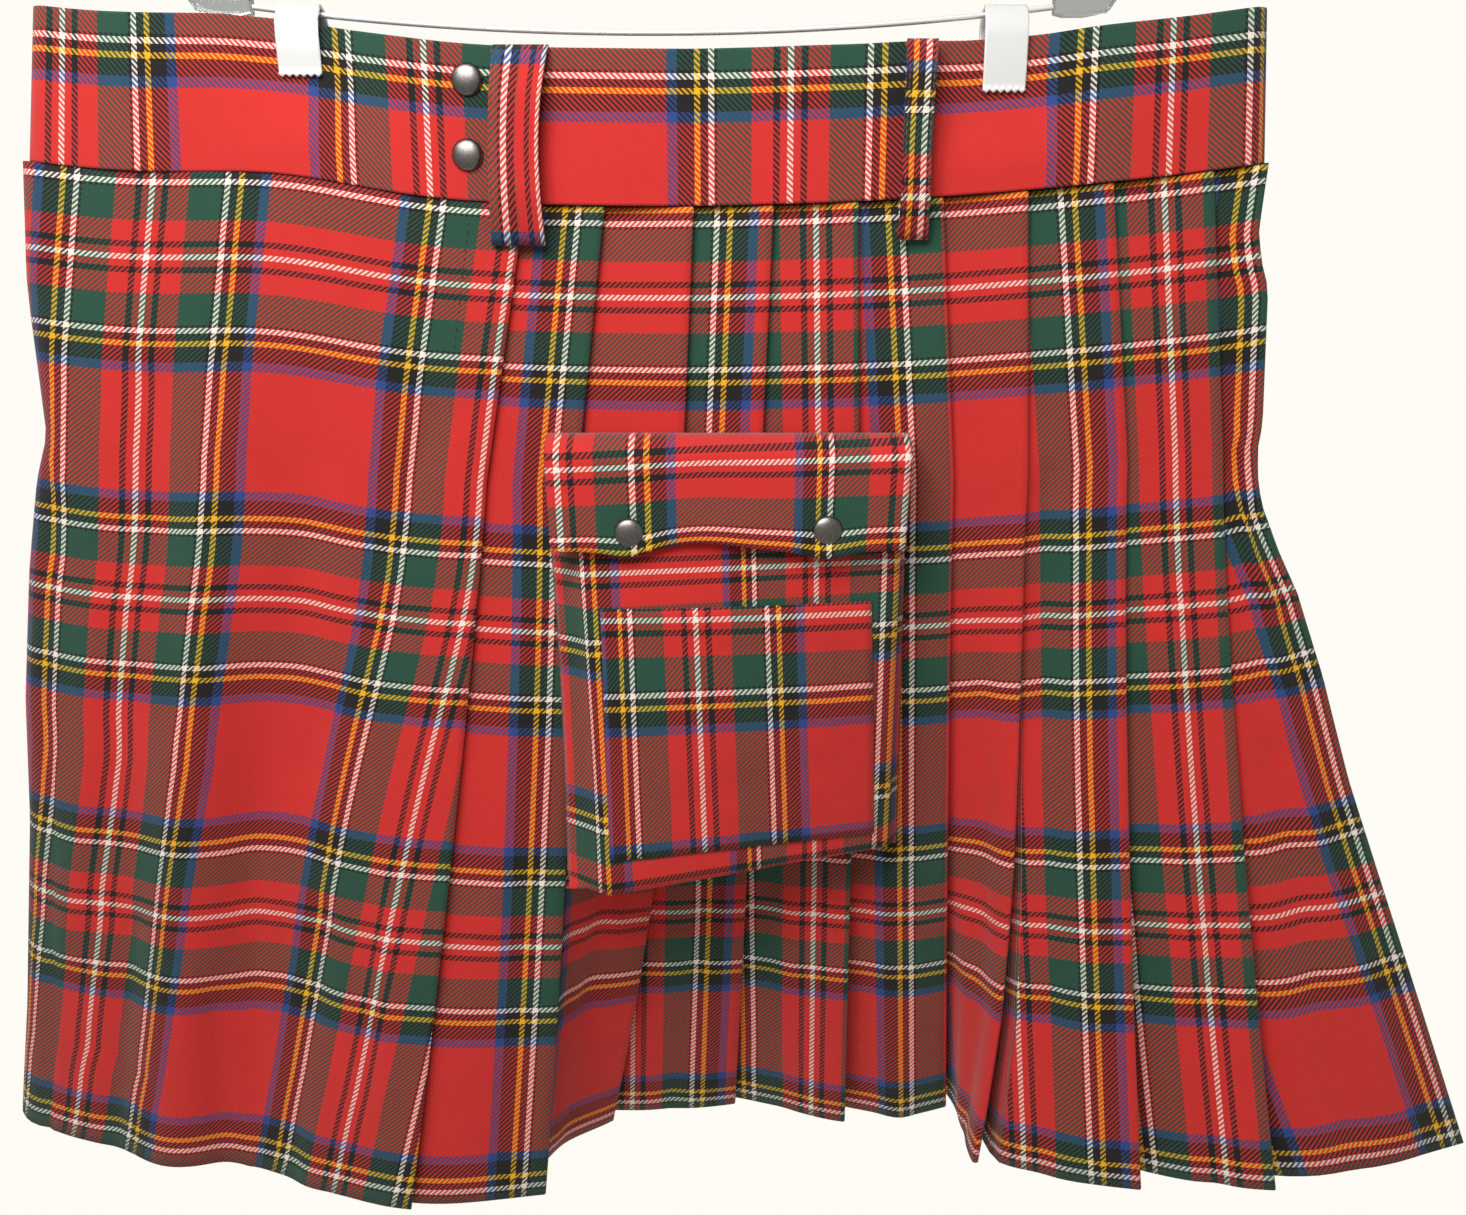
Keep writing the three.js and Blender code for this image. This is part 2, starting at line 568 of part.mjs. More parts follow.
// The clear arms: one flat moulding, highest at the neck, with a lobe at each end for the bar.
function hangerArms() {
  const shape = new THREE.Shape();
  const top = [[12, NECK_TOP], [20, -69], [60, -80], [110, -93], [160, -106], [186, -112]];
  const end = [[192, -116], [ARM_END_X, -120], [191, -124.5], [181, -126.5], [172, -126.5],
    [168, -125.5], [168, -119]];
  const under = [[160, -117], [110, -105], [60, -92], [20, -81], [8, -79]];
  const right = [...top, ...end, ...under];
  shape.moveTo(right[0][0], right[0][1]);
  right.slice(1).forEach(([x, z]) => shape.lineTo(x, z));
  [...right].reverse().forEach(([x, z]) => shape.lineTo(-x, z));
  shape.closePath();
  const geometry = new THREE.ExtrudeGeometry(shape, {
    depth: ARM_DEPTH - 2, bevelThickness: 1, bevelSize: 1, bevelOffset: -1, bevelSegments: 1,
  });
  return geometry.translate(0, 0, 1 - ARM_DEPTH / 2).rotateX(Math.PI / 2);
}

// A clip: spring sheet bent over the bar, its two jaws closing on the band.
function clip(x) {
  const inside = bandHalfDepth(x, 0) + BAND_WALL / 2 + SEAM_GAP;
  const crown = barHeight(Math.abs(x) + CLIP_WIDTH / 2) + BAR_WIRE / 2 + SEAM_GAP;
  const mouth = bandTop(x) - CLIP_GRIP;
  const right = [[1.8, crown], [inside + 1.5, crown - 6], [inside + 1.5, crown - 14],
    [inside + 0.1, mouth + 5], [inside, mouth + 2], [inside + 1.2, mouth]];
  const shape = new THREE.Shape();
  shape.moveTo(-right[0][0], right[0][1]);
  right.forEach(([y, z]) => shape.lineTo(y, z));
  [...right].reverse().forEach(([y, z], i) => {
    shape.lineTo(y + CLIP_SHEET, i === right.length - 1 ? z + CLIP_SHEET : z);
  });
  right.forEach(([y, z], i) => shape.lineTo(-y - CLIP_SHEET, i === 0 ? z + CLIP_SHEET : z));
  [...right].slice(1).reverse().forEach(([y, z]) => shape.lineTo(-y, z));
  shape.closePath();
  const geometry = new THREE.ExtrudeGeometry(shape, { depth: CLIP_WIDTH, bevelEnabled: false });
  geometry.translate(0, 0, -CLIP_WIDTH / 2);
  const turn = new THREE.Matrix4().makeBasis(new THREE.Vector3(0, 1, 0),
    new THREE.Vector3(0, 0, 1), new THREE.Vector3(1, 0, 0));
  return geometry.applyMatrix4(turn).translate(x, 0, 0);
}

const cloth = new THREE.MeshStandardMaterial({ color: 0xb8302c, roughness: 0.9, metalness: 0 });
const darkCloth = new THREE.MeshStandardMaterial({ color: 0x6a2420, roughness: 0.9, metalness: 0 });
const gunmetal = new THREE.MeshStandardMaterial({ color: 0x4a4a4c, roughness: 0.35, metalness: 1 });
const steel = new THREE.MeshStandardMaterial({ color: 0xb9bcc0, roughness: 0.3, metalness: 1 });
const clear = new THREE.MeshStandardMaterial({
  color: 0xe8eef0, roughness: 0.1, metalness: 0, transparent: true, opacity: 0.4,
});

const kilt = new THREE.Group();
kilt.name = 'kilt_on_clip_hanger';
function place(name, geometry, material, x = 0, y = 0, z = 0) {
  const mesh = new THREE.Mesh(geometry, material);
  mesh.name = name;
  mesh.position.set(x, y, z);
  kilt.add(mesh);
}

place('over_apron', hangingCloth(ROWS.map(apronLine), CLOTH_WALL), cloth);

const underRows = ROWS.map((down) => {
  const line = underLine(down);
  const end = line.findLastIndex((p) => p.x < UNDER_APRON_END_X);
  return { line, end };
});
const underEnd = Math.min(...underRows.map((row) => row.end)) + 1;
const underPart = underRows.map(({ line }) => [
  add(line[1], line[2].clone().sub(line[1]).normalize(), 0.2), ...line.slice(2, underEnd)]);
place('under_apron', hangingCloth(underPart, CLOTH_WALL), darkCloth);

// The pleated cloth is cut in two just past the last front fold's inner end, where it lies flat.
const pleats = ROWS.map(pleatLine);
const splitAt = pleats[0].marks[FRONT_FOLD_COUNT - 1];
const splitPoint = (line, past) => add(line[splitAt],
  line[splitAt + 1].clone().sub(line[splitAt]).normalize(), past);
const frontPart = pleats.map(({ line }) => [...line.slice(0, splitAt + 1), splitPoint(line, 2)]);
const backPart = pleats.map(({ line }) => [splitPoint(line, 2.4), ...line.slice(splitAt + 1)]);
place('pleats_front', hangingCloth(frontPart, CLOTH_WALL), cloth);
place('pleats_back', hangingCloth(backPart, CLOTH_WALL), cloth);

place('waistband', waistband(), cloth);
LOOPS.forEach((loop) => place(loop.name, beltLoop(loop), cloth));
const bandFace = -WAIST_HALF_DEPTH - BAND_WALL / 2 - SEAM_GAP;
WAIST_SNAPS.forEach((snap, i) => {
  place(`waist_snap_${i + 1}`, snapCap(), gunmetal, snap.x, bandFace, snap.z);
});

place('pocket_body', pocketBody(), cloth);
place('patch_pocket', patchPocket(), cloth);
place('pocket_flap', pocketFlap(), cloth);
POCKET_SNAPS.forEach((snap, i) => {
  const p = flapPoint(snap.across, snap.down);
  place(`pocket_snap_${i + 1}`, snapCap(), gunmetal, p.x, p.y - FLAP.wall / 2 - 0.9, p.z);
});

place('hanger_arms', hangerArms(), clear);
place('hanger_hook', hangerHook(), steel);
place('hanger_bar', hangerBar(), steel);
place('clip_left', clip(-CLIP_X), steel);
place('clip_right', clip(CLIP_X), steel);

export default kilt;
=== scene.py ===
"""A red tartan utility kilt, hung flat on a clip hanger and seen from its side."""

import math

import bpy
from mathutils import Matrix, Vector


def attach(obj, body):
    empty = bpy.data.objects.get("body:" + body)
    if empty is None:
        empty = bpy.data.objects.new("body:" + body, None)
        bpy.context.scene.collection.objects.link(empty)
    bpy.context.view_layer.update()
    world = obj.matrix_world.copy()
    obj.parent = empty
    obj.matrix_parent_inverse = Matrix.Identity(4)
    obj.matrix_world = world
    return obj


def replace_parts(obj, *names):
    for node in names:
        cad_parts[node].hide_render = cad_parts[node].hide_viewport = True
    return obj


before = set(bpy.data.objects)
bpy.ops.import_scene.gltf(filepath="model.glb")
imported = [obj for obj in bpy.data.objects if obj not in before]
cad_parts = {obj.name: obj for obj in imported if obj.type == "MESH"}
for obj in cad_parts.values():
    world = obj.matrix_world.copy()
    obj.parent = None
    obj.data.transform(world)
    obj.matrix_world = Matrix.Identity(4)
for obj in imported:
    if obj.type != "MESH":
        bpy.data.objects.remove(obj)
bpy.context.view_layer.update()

# Tartan cloth. A plain 2/2 twill in one red tartan, woven with the same stripes both ways.
# Stripes are counted in threads from the middle of the wide red to the white line, and then
# back again. Every cloth piece carries its own places in the weave, in whole repeats.
SETT = 350
STRIPES = [(0, "red"), (61, "blue"), (71, "black"), (86.5, "yellow"), (92, "black"),
           (99.5, "white"), (105, "black"), (108, "green"), (139, "red"), (159, "black"),
           (165, "red"), (172, "white")]
DYES = {"red": (200, 42, 38), "blue": (42, 67, 130), "black": (24, 22, 22),
        "yellow": (232, 172, 26), "white": (236, 228, 214), "green": (35, 74, 58)}
RIBS_IN_SETT = 64
# RIB_SHADE darkens the colour in the furrows between the twill ribs: painted shade.
RIB_SHADE, RIB_DEPTH, RIB_STRENGTH = 0.22, 0.0003, 0.5
MOTTLE_SCALE, FUZZ_SCALE = 7, 420
# Two dyes side by side shade each other, so they are mixed darker than as plain light.
MIX_POWER = 2.2
THREAD = 0.44
CLOTH_MAP = "cloth"


def plug(tree, socket, value):
    if isinstance(value, bpy.types.NodeSocket):
        tree.links.new(value, socket)
    else:
        socket.default_value = value


def calc(tree, operation, *values):
    node = tree.nodes.new("ShaderNodeMath")
    node.operation = operation
    for socket, value in zip(node.inputs, values):
        plug(tree, socket, value)
    return node.outputs[0]


def mix_colour(tree, share, first, second):
    node = tree.nodes.new("ShaderNodeMix")
    node.data_type = "RGBA"
    for slot, value in ((0, share), (6, first), (7, second)):
        plug(tree, node.inputs[slot], value)
    return node.outputs[2]


def noise(tree, place, scale, detail=2.0):
    node = tree.nodes.new("ShaderNodeTexNoise")
    node.inputs["Scale"].default_value = scale
    node.inputs["Detail"].default_value = detail
    tree.links.new(place, node.inputs["Vector"])
    return node.outputs["Fac"]


def dye(colour):
    """A colour named in screen values, 0 to 255, as the shader wants it."""
    channels = [c / 255 for c in colour]
    return tuple(c / 12.92 if c < 0.04 else ((c + 0.055) / 1.055) ** 2.4 for c in channels) + (1,)


def new_group(name, inputs, outputs):
    tree = bpy.data.node_groups.new(name, "ShaderNodeTree")
    for label, kind, value in inputs:
        socket = tree.interface.new_socket(label, in_out="INPUT", socket_type=kind)
        if value is not None:
            socket.default_value = value
    for label, kind in outputs:
        tree.interface.new_socket(label, in_out="OUTPUT", socket_type=kind)
    return tree, tree.nodes.new("NodeGroupInput").outputs, tree.nodes.new("NodeGroupOutput").inputs


def stripe_colour(tree, setts):
    """The dye of one thread system at its place in the sett."""
    folded = calc(tree, "MULTIPLY", calc(tree, "PINGPONG", setts, 0.5), 2)
    ramp = tree.nodes.new("ShaderNodeValToRGB")
    ramp.color_ramp.interpolation = "CONSTANT"
    stops = ramp.color_ramp.elements
    stops.remove(stops[1])
    for thread, name in STRIPES:
        stop = stops[0] if thread == 0 else stops.new(2 * thread / SETT)
        stop.color = tuple(channel ** (1 / MIX_POWER) for channel in dye(DYES[name]))
    tree.links.new(folded, ramp.inputs["Fac"])
    return ramp.outputs["Color"]


tartan_twill, given, result = new_group(
    "Tartan twill",
    [("Place", "NodeSocketVector", None), ("Rib shade", "NodeSocketFloat", RIB_SHADE),
     ("Mottle", "NodeSocketFloat", 0.10), ("Fuzz", "NodeSocketFloat", 0.16),
     ("Blend", "NodeSocketFloat", 0.72)],
    [("Color", "NodeSocketColor"), ("Height", "NodeSocketFloat")])


def twill(operation, *values):
    return calc(tartan_twill, operation, *values)


split = tartan_twill.nodes.new("ShaderNodeSeparateXYZ")
tartan_twill.links.new(given["Place"], split.inputs[0])
across, down = split.outputs[0], split.outputs[1]
diagonal = twill("MULTIPLY", twill("ADD", across, down), RIBS_IN_SETT)
rib = twill("SINE", twill("MULTIPLY", diagonal, 2 * math.pi))
warp_on_top = tartan_twill.nodes.new("ShaderNodeMapRange")
warp_on_top.interpolation_type = "SMOOTHSTEP"
plug(tartan_twill, warp_on_top.inputs["Value"], rib)
warp_on_top.inputs["From Min"].default_value = -0.5
warp_on_top.inputs["From Max"].default_value = 0.5
warp_share = twill("ADD", 0.5, twill(
    "MULTIPLY", twill("SUBTRACT", warp_on_top.outputs[0], 0.5), given["Blend"]))
woven = tartan_twill.nodes.new("ShaderNodeGamma")
woven.inputs["Gamma"].default_value = MIX_POWER
tartan_twill.links.new(
    mix_colour(tartan_twill, warp_share, stripe_colour(tartan_twill, down),
               stripe_colour(tartan_twill, across)), woven.inputs["Color"])
# Painted shade: the furrows between the ribs are darkened by Rib shade. Mottle and fuzz add random
# tone.
furrow = twill("SUBTRACT", 1, twill("ABSOLUTE", rib))
mottle = twill("SUBTRACT", noise(tartan_twill, given["Place"], MOTTLE_SCALE), 0.5)
fuzz = twill("SUBTRACT", noise(tartan_twill, given["Place"], FUZZ_SCALE, 1), 0.5)
light = twill("SUBTRACT", 1, twill("MULTIPLY", furrow, given["Rib shade"]))
light = twill("ADD", light, twill("MULTIPLY", mottle, given["Mottle"]))
light = twill("ADD", light, twill("MULTIPLY", fuzz, given["Fuzz"]))
shade = tartan_twill.nodes.new("ShaderNodeVectorMath")
shade.operation = "SCALE"
tartan_twill.links.new(woven.outputs[0], shade.inputs[0])
tartan_twill.links.new(light, shade.inputs["Scale"])
tartan_twill.links.new(shade.outputs[0], result["Color"])
tartan_twill.links.new(twill("ADD", twill("ABSOLUTE", rib), fuzz), result["Height"])


def new_material(name, values):
    """A material, its node tree and its shader, whose values are given by name."""
    material = bpy.data.materials.new(name)
    material.use_nodes = True
    shader = material.node_tree.nodes["Principled BSDF"]
    for label, value in values.items():
        shader.inputs[label].default_value = value
    return material, material.node_tree, shader


def tartan_material(name):
    material, tree, shader = new_material(
        name, {"Roughness": 0.88, "Specular IOR Level": 0.25, "Sheen Weight": 0.12,
               "Sheen Roughness": 0.5})
    place = tree.nodes.new("ShaderNodeUVMap")
    place.uv_map = CLOTH_MAP
    weave = tree.nodes.new("ShaderNodeGroup")
    weave.node_tree = tartan_twill
    tree.links.new(place.outputs["UV"], weave.inputs["Place"])
    tree.links.new(weave.outputs["Color"], shader.inputs["Base Color"])
    bump = tree.nodes.new("ShaderNodeBump")
    bump.inputs["Strength"].default_value = RIB_STRENGTH
    bump.inputs["Distance"].default_value = RIB_DEPTH
    tree.links.new(weave.outputs["Height"], bump.inputs["Height"])
    tree.links.new(bump.outputs["Normal"], shader.inputs["Normal"])
    return material


tartan = tartan_material("Red tartan")

# Over apron. One flat panel of tartan: its free edge lies over the first pleat at the front, it
# wraps the kilt's left edge and is sewn on at the back. It hangs from the waistband's seam, and
# its lower half stands away from the layers under it in soft waves.
MM = 0.001
WAIST_HALF_DEPTH = 9.5
BAND_HEIGHT = 62
BAND_TOP_MIDDLE = -141.5
BAND_TOP_RISE = 17.5
BAND_TOP_HALF = 260
LEFT_CLIP_LIFT, LEFT_CLIP_LIFT_X, LEFT_CLIP_LIFT_ALONG = 6.5, -160, 50
SEAM_GAP = 0.05
BODY_LENGTH = 458
HIP = 120
CLOTH_THICK = 0.9
ROW_COUNT = 66
DEPTH_POWER = 1.4
APRON_FREE_EDGE = {"seam": -55, "hip": -76, "hem": -118, "hem_y": -48, "flare": 1.08}
APRON_FIXED_EDGE = {"seam": -57, "hip": -66, "hem": -78, "hem_y": 61, "flare": 1.2}
LEFT_EDGE = [(0, -269.5), (60, -275), (116, -275), (137, -281), (180, -290), (241, -300.5),
             (300, -307), (350, -315), (400, -323), (458, -334)]
LEFT_TURN_FRONT, LEFT_TURN_BACK, LEFT_TURN_WIDE = -6, 46, 24
APRON_WAVES = [(0.06, 2.5), (0.44, -12), (0.66, 12), (0.9, 3)]
APRON_WAVE_WIDTH = 0.11
WAVES_FROM, WAVES_FULL, WAVES_AT_HEM = 60, 260, 0.7
BACK_SWAY, LEFT_BACK_POWER = 5, 1.1
APRON_FRONT_COLUMNS, APRON_TURN_COLUMNS, APRON_BACK_COLUMNS = 64, 14, 36
# Creases, each a line from one place to another (along the cloth and down it, in millimetres),
# with how wide it is and how far it goes in. A negative one stands out.
APRON_CREASES = [
    (28, 96, 74, 262, 9, 1.8), (52, 60, 40, 150, 7, -1.3), (96, 150, 82, 330, 12, -2.6),
    (118, 40, 126, 132, 8, 1.2), (150, 90, 138, 235, 10, 2.3), (176, 190, 190, 352, 11, -2.5),
    (60, 330, 68, 452, 9, 2.7), (112, 372, 104, 456, 8, 1.9), (204, 60, 196, 168, 8, 1.6),
    (30, 300, 18, 410, 7, -1.9), (140, 420, 178, 404, 6, 1.1), (20, 176, 44, 186, 5, 0.9),
    (92, 300, 86, 380, 6, -1.4), (158, 338, 164, 448, 7, 1.7), (196, 128, 172, 150, 5, -1.0),
    (262, 60, 258, 250, 9, 1.1), (300, 150, 312, 390, 12, -1.4), (346, 80, 340, 214, 8, 1.0),
    (380, 240, 398, 440, 11, 1.5), (420, 110, 414, 280, 9, -1.1), (290, 330, 282, 452, 9, 1.6)]
CREASE_FADE = 12


def lerp(a, b, share):
    return a + (b - a) * share


def share_of(at, start, end):
    """How far a value is on its way from a start to an end, from 0 to 1."""
    return max(0, min(1, (at - start) / (end - start)))


def hill(at, centre, width):
    return math.exp(-((at - centre) / width) ** 2)


def read_off(table, at):
    """The value beside a place in a table of places and values, in line between its rows."""
    for (x0, y0), (x1, y1) in zip(table, table[1:]):
        if at <= x1:
            break
    return lerp(y0, y1, (at - x0) / (x1 - x0))


def band_top(x):
    lift = LEFT_CLIP_LIFT * hill(x, LEFT_CLIP_LIFT_X, LEFT_CLIP_LIFT_ALONG)
    return BAND_TOP_MIDDLE + BAND_TOP_RISE * (x / BAND_TOP_HALF) ** 2 + lift


def below_hip(down):
    return share_of(down, HIP, BODY_LENGTH)


def edge_at(edge, down, rest_y):
    """Where an edge of the cloth is in plan, at a length down from the seam."""
    t = below_hip(down)
    upper = lerp(edge["seam"], edge["hip"], share_of(down, 0, HIP))
    upper += read_off(edge.get("kinks", [(0, 0), (BODY_LENGTH, 0)]), down)
    return Vector((upper + (edge["hem"] - edge["hip"]) * t ** edge["flare"],
                   rest_y + (edge["hem_y"] - rest_y) * t ** DEPTH_POWER))


def left_of(direction):
    return Vector((-direction.y, direction.x))


def crease_at(creases, along, down):
    """How far all the creases together move the cloth at one place."""
    out = 0
    for x0, y0, x1, y1, width, height in creases:
        run = Vector((x1 - x0, y1 - y0))
        t = max(0, min(1, (Vector((along - x0, down - y0)) @ run) / run.length_squared))
        off = math.hypot(along - x0 - run.x * t, down - y0 - run.y * t)
        if off < 3 * width:
            out += height * hill(off, 0, width)
    return out


def line_lengths(line):
    """The length of a plan line up to each of its points."""
    lengths = [0]
    for a, b in zip(line, line[1:]):
        lengths.append(lengths[-1] + (b - a).length)
    return lengths


def line_normals(line):
    """The level direction to the left of travel at each point of a plan line."""
    normals = []
    for i in range(len(line)):
        step = line[min(i + 1, len(line) - 1)] - line[max(i - 1, 0)]
        normals.append(left_of(step.normalized()))
    return normals


def moved(line, distance):
    """A plan line moved to the left of its travel."""
    return [p + n * distance for p, n in zip(line, line_normals(line))]


def apron_line(down):
    """The over apron in plan, from its free edge round the left edge to its fixed edge."""
    t = below_hip(down)
    share = down / BODY_LENGTH
    free = edge_at(APRON_FREE_EDGE, down, -WAIST_HALF_DEPTH)
    fixed = edge_at(APRON_FIXED_EDGE, down, WAIST_HALF_DEPTH)
    wide = lerp(WAIST_HALF_DEPTH, LEFT_TURN_WIDE, share)
    front = lerp(-WAIST_HALF_DEPTH, LEFT_TURN_FRONT, t)
    back = lerp(WAIST_HALF_DEPTH, LEFT_TURN_BACK, t ** LEFT_BACK_POWER)
    turn_x = read_off(LEFT_EDGE, down) + wide
    amount = share_of(down, WAVES_FROM, WAVES_FULL) * lerp(1, WAVES_AT_HEM, t)
    line = []
    for i in range(APRON_FRONT_COLUMNS):
        u = i / APRON_FRONT_COLUMNS
        out = sum(height * hill(u, place, APRON_WAVE_WIDTH) for place, height in APRON_WAVES)
        line.append(Vector((lerp(free.x, turn_x, u), lerp(free.y, front, u) - out * amount)))
    for i in range(APRON_TURN_COLUMNS + 1):
        angle = -math.pi / 2 - math.pi * i / APRON_TURN_COLUMNS
        line.append(Vector((turn_x + wide * math.cos(angle),
                            (front + back) / 2 + (back - front) / 2 * math.sin(angle))))
    for i in range(1, APRON_BACK_COLUMNS + 1):
        u = i / APRON_BACK_COLUMNS
        line.append(Vector((lerp(turn_x, fixed.x, u),
                            lerp(back, fixed.y, u) + BACK_SWAY * t * math.sin(2 * math.pi * u))))
    return line


def creased(line, creases, down):
    """A plan line moved by its creases to the right of its travel, and less beside its start."""
    return [p - n * crease_at(creases, s, down) * share_of(s, 0, CREASE_FADE)
            for p, n, s in zip(line, line_normals(line), line_lengths(line))]


# How much lower the cloth has sagged at the hem: x and millimetres.
HEM_SAG = [(-400, 7), (-260, 6), (-205, 12), (-160, 6), (-60, 5), (60, 5), (125, 9), (150, 1),
           (200, 2), (300, 3), (355, 7), (400, 12)]


def hung(rows, downs):
    """Plan lines as points in space: each column of cloth keeps its length as it falls."""
    heights = [band_top(p.x) - BAND_HEIGHT - SEAM_GAP for p in rows[0]]
    grid = []
    for r, (line, down) in enumerate(zip(rows, downs)):
        if r:
            run = down - downs[r - 1]
            for c, (p, before) in enumerate(zip(line, rows[r - 1])):
                fall = run * run - (p - before).length_squared
                heights[c] -= math.sqrt(max(0.25 * run * run, fall))
        grid.append([Vector((p.x, p.y, z - read_off(HEM_SAG, p.x) * (down / BODY_LENGTH) ** 2))
                     for p, z in zip(line, heights)])
    return grid


def new_mesh(name, points, faces, material):
    mesh = bpy.data.meshes.new(name)
    mesh.from_pydata(points, [], faces)
    mesh.materials.append(material)
    return mesh


def new_piece(name, data, wall=0):
    """A piece on the root body, with its wall where it is a sheet."""
    piece = bpy.data.objects.new(name, data)
    bpy.context.scene.collection.objects.link(piece)
    if wall:
        sheet = piece.modifiers.new("Wall", "SOLIDIFY")
        sheet.thickness = wall * MM
        sheet.offset = 0
    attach(piece, "root")
    return piece


def sew(name, grid, threads, thickness, closed=False):
    """A cloth piece from a grid of points in millimetres and their places in the weave."""
    columns = len(grid[0])
    points = [p * MM for line in grid for p in line]
    places = [(u / SETT, v / SETT) for line in threads for u, v in line]
    faces = []
    for r in range(len(grid) - 1):
        for c in range(columns if closed else columns - 1):
            near, far = c, (c + 1) % columns
            faces.append((r * columns + near, (r + 1) * columns + near,
                          (r + 1) * columns + far, r * columns + far))
    mesh = new_mesh(name, points, faces, tartan)
    layer = mesh.uv_layers.new(name=CLOTH_MAP)
    for loop in mesh.loops:
        layer.data[loop.index].uv = places[loop.vertex_index]
    mesh.shade_smooth()
    return new_piece(name, mesh, thickness)


downs = [BODY_LENGTH * i / (ROW_COUNT - 1) for i in range(ROW_COUNT)]
WEFT_THREAD = 0.424
APRON_WHITE_LINE, PLEAT_WHITE_LINE = 35, 38
# The threads across on the free edge: at the seam, how many more at the hem, and how they grow.
FREE_THREAD, FREE_MORE, FREE_POWER = 180, 88, 1.5
# Two bends of the weave seen on its left: one bows out where the edge does, in threads, with
# its place and width down the cloth, and one lies low, from and to along the cloth and down it.
# Both die out round the left edge, from and to along the cloth.
LEFT_BOW = {"threads": 15, "down": 165, "width": 75}
LEFT_PULL = {"threads": 15, "along": (70, 150), "down": (190, 280)}
SEEN_TO, HIDDEN_FROM = 240, 400


def weft(down, white_line):
    return SETT / 2 + (down - white_line) / WEFT_THREAD


def apron_threads(along, down):
    free = FREE_THREAD + FREE_MORE * (down / BODY_LENGTH) ** FREE_POWER
    bow = LEFT_BOW["threads"] * hill(down, LEFT_BOW["down"], LEFT_BOW["width"])
    pull = LEFT_PULL["threads"] * share_of(along, *LEFT_PULL["along"])
    pull *= share_of(down, *LEFT_PULL["down"])
    seen = share_of(along, HIDDEN_FROM, SEEN_TO)
    return free - along / THREAD - (bow + pull) * seen, weft(down, APRON_WHITE_LINE)


apron_rows = [creased(apron_line(down), APRON_CREASES, down) for down in downs]
over_apron = sew("over_apron_cloth", hung(apron_rows, downs),
                 [[apron_threads(s, down) for s in line_lengths(row)]
                  for row, down in zip(apron_rows, downs)], CLOTH_THICK)
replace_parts(over_apron, "over_apron")

# Under apron. The same panel again under the first: it carries on from the cloth of the first
# pleat, lies inside the over apron and ends at the back, where it is sewn to the waistband.
UNDER_INSET_SEAM, UNDER_INSET_HEM = 3, 5
UNDER_FIRST, UNDER_END_X, UNDER_THREAD_START = 6, -110, 40


def under_line(down):
    return moved(apron_line(down), -lerp(UNDER_INSET_SEAM, UNDER_INSET_HEM, below_hip(down)))


under_rows = [under_line(down) for down in downs]
under_last = min(max(i for i, p in enumerate(row) if p.x < UNDER_END_X) for row in under_rows)
under_rows = [row[UNDER_FIRST:under_last + 1] for row in under_rows]
under_apron = sew("under_apron_cloth", hung(under_rows, downs),
                  [[(UNDER_THREAD_START - s / THREAD, weft(down, PLEAT_WHITE_LINE))
                    for s in line_lengths(row)] for row, down in zip(under_rows, downs)],
                  CLOTH_THICK)
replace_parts(under_apron, "under_apron")

# Pleated cloth. The tartan runs on from the under apron in knife pleats, every fold pressed to
# point the same way: nine across the side that is seen, eight across the hidden side. The folds
# are stitched down at the hip and hang free below it. It is one length of cloth in two pieces.
FOLD_GAP = 2
PLEAT_CLOTH = 114
PANEL_COLUMNS = 14
HIDDEN_COLUMNS = 3
HIDDEN_LEAST, HIDDEN_SHARE = 7, 0.6
FIRST_STEP_SHARE, STEP_POWER, JOIN_SHARE = 0.25, 1.5, 0.02
# The turn at a fold: how far ahead of its edge and how far over the panel each point lies.
FOLD_TIP, INNER_TURN = [(0.5, 0.7), (0.4, 1.4)], 0.8
# How many threads past the fold's own the cloth is at those points, then behind the panel, at
# the turn inside and past it.
TIP_THREADS, BEHIND_THREADS, TURN_THREADS, OUT_THREADS = (2, 3), 4, 5, 6
LAST_COLUMNS, FIXED_SETBACK = 6, 0.6
# A fold's edge across at the seam, hip and hem, its depth at the hem, how far inside it the next
# panel starts at the hem, how far the panel that ends at it bows at the two places of BOWS_AT,
# how its x grows, and the thread that lies on it in the tartan.
BOWS_AT = (0.35, 0.7)
FOLD_VALUES = ("seam", "hip", "hem", "hem_y", "step", "bows", "flare", "thread")
FOLDS = [dict(zip(FOLD_VALUES, row)) for row in [
    (-22, -37, -58, -33, 8, (2, 1), 1.4, 125),
    (16, 10, -30, 22, 9, (-11, -7), 1.7, 37),
    (50, 45, 34, 37, 6, (1, 1), 1.3, 300),
    (86, 89, 92, 25, 12, (0, 1), 1.3, 214),
    (122, 131, 146, 27, 12, (1, 1), 1.3, 141),
    (158, 164, 152, -21, 13, (-3, -1), 1.8, 39),
    (194, 208, 225, -47, 16, (3, 2), 1.2, 296),
    (236, 250, 284, -56, 12, (2, 2), 1.1, 220),
    (259, 269, 379, -40, 8, (6, 3), 1.05, 112),
    (227, 230, 330, 53, 8, (20, 14), 1.1, 38),
    (191, 191, 281, 64, 10, (2, 2), 1.2, 300),
    (155, 153, 229, 58, 8, (1, 2), 1.2, 213),
    (119, 115, 178, 69, 11, (2, 1), 1.2, 125),
    (83, 78, 127, 62, 8, (1, 2), 1.2, 38),
    (47, 41, 76, 71, 10, (2, 1), 1.2, 300),
    (11, 4, 25, 64, 8, (1, 2), 1.2, 213),
    (-25, -33, -27, 69, 9, (2, 2), 1.2, 125)]]
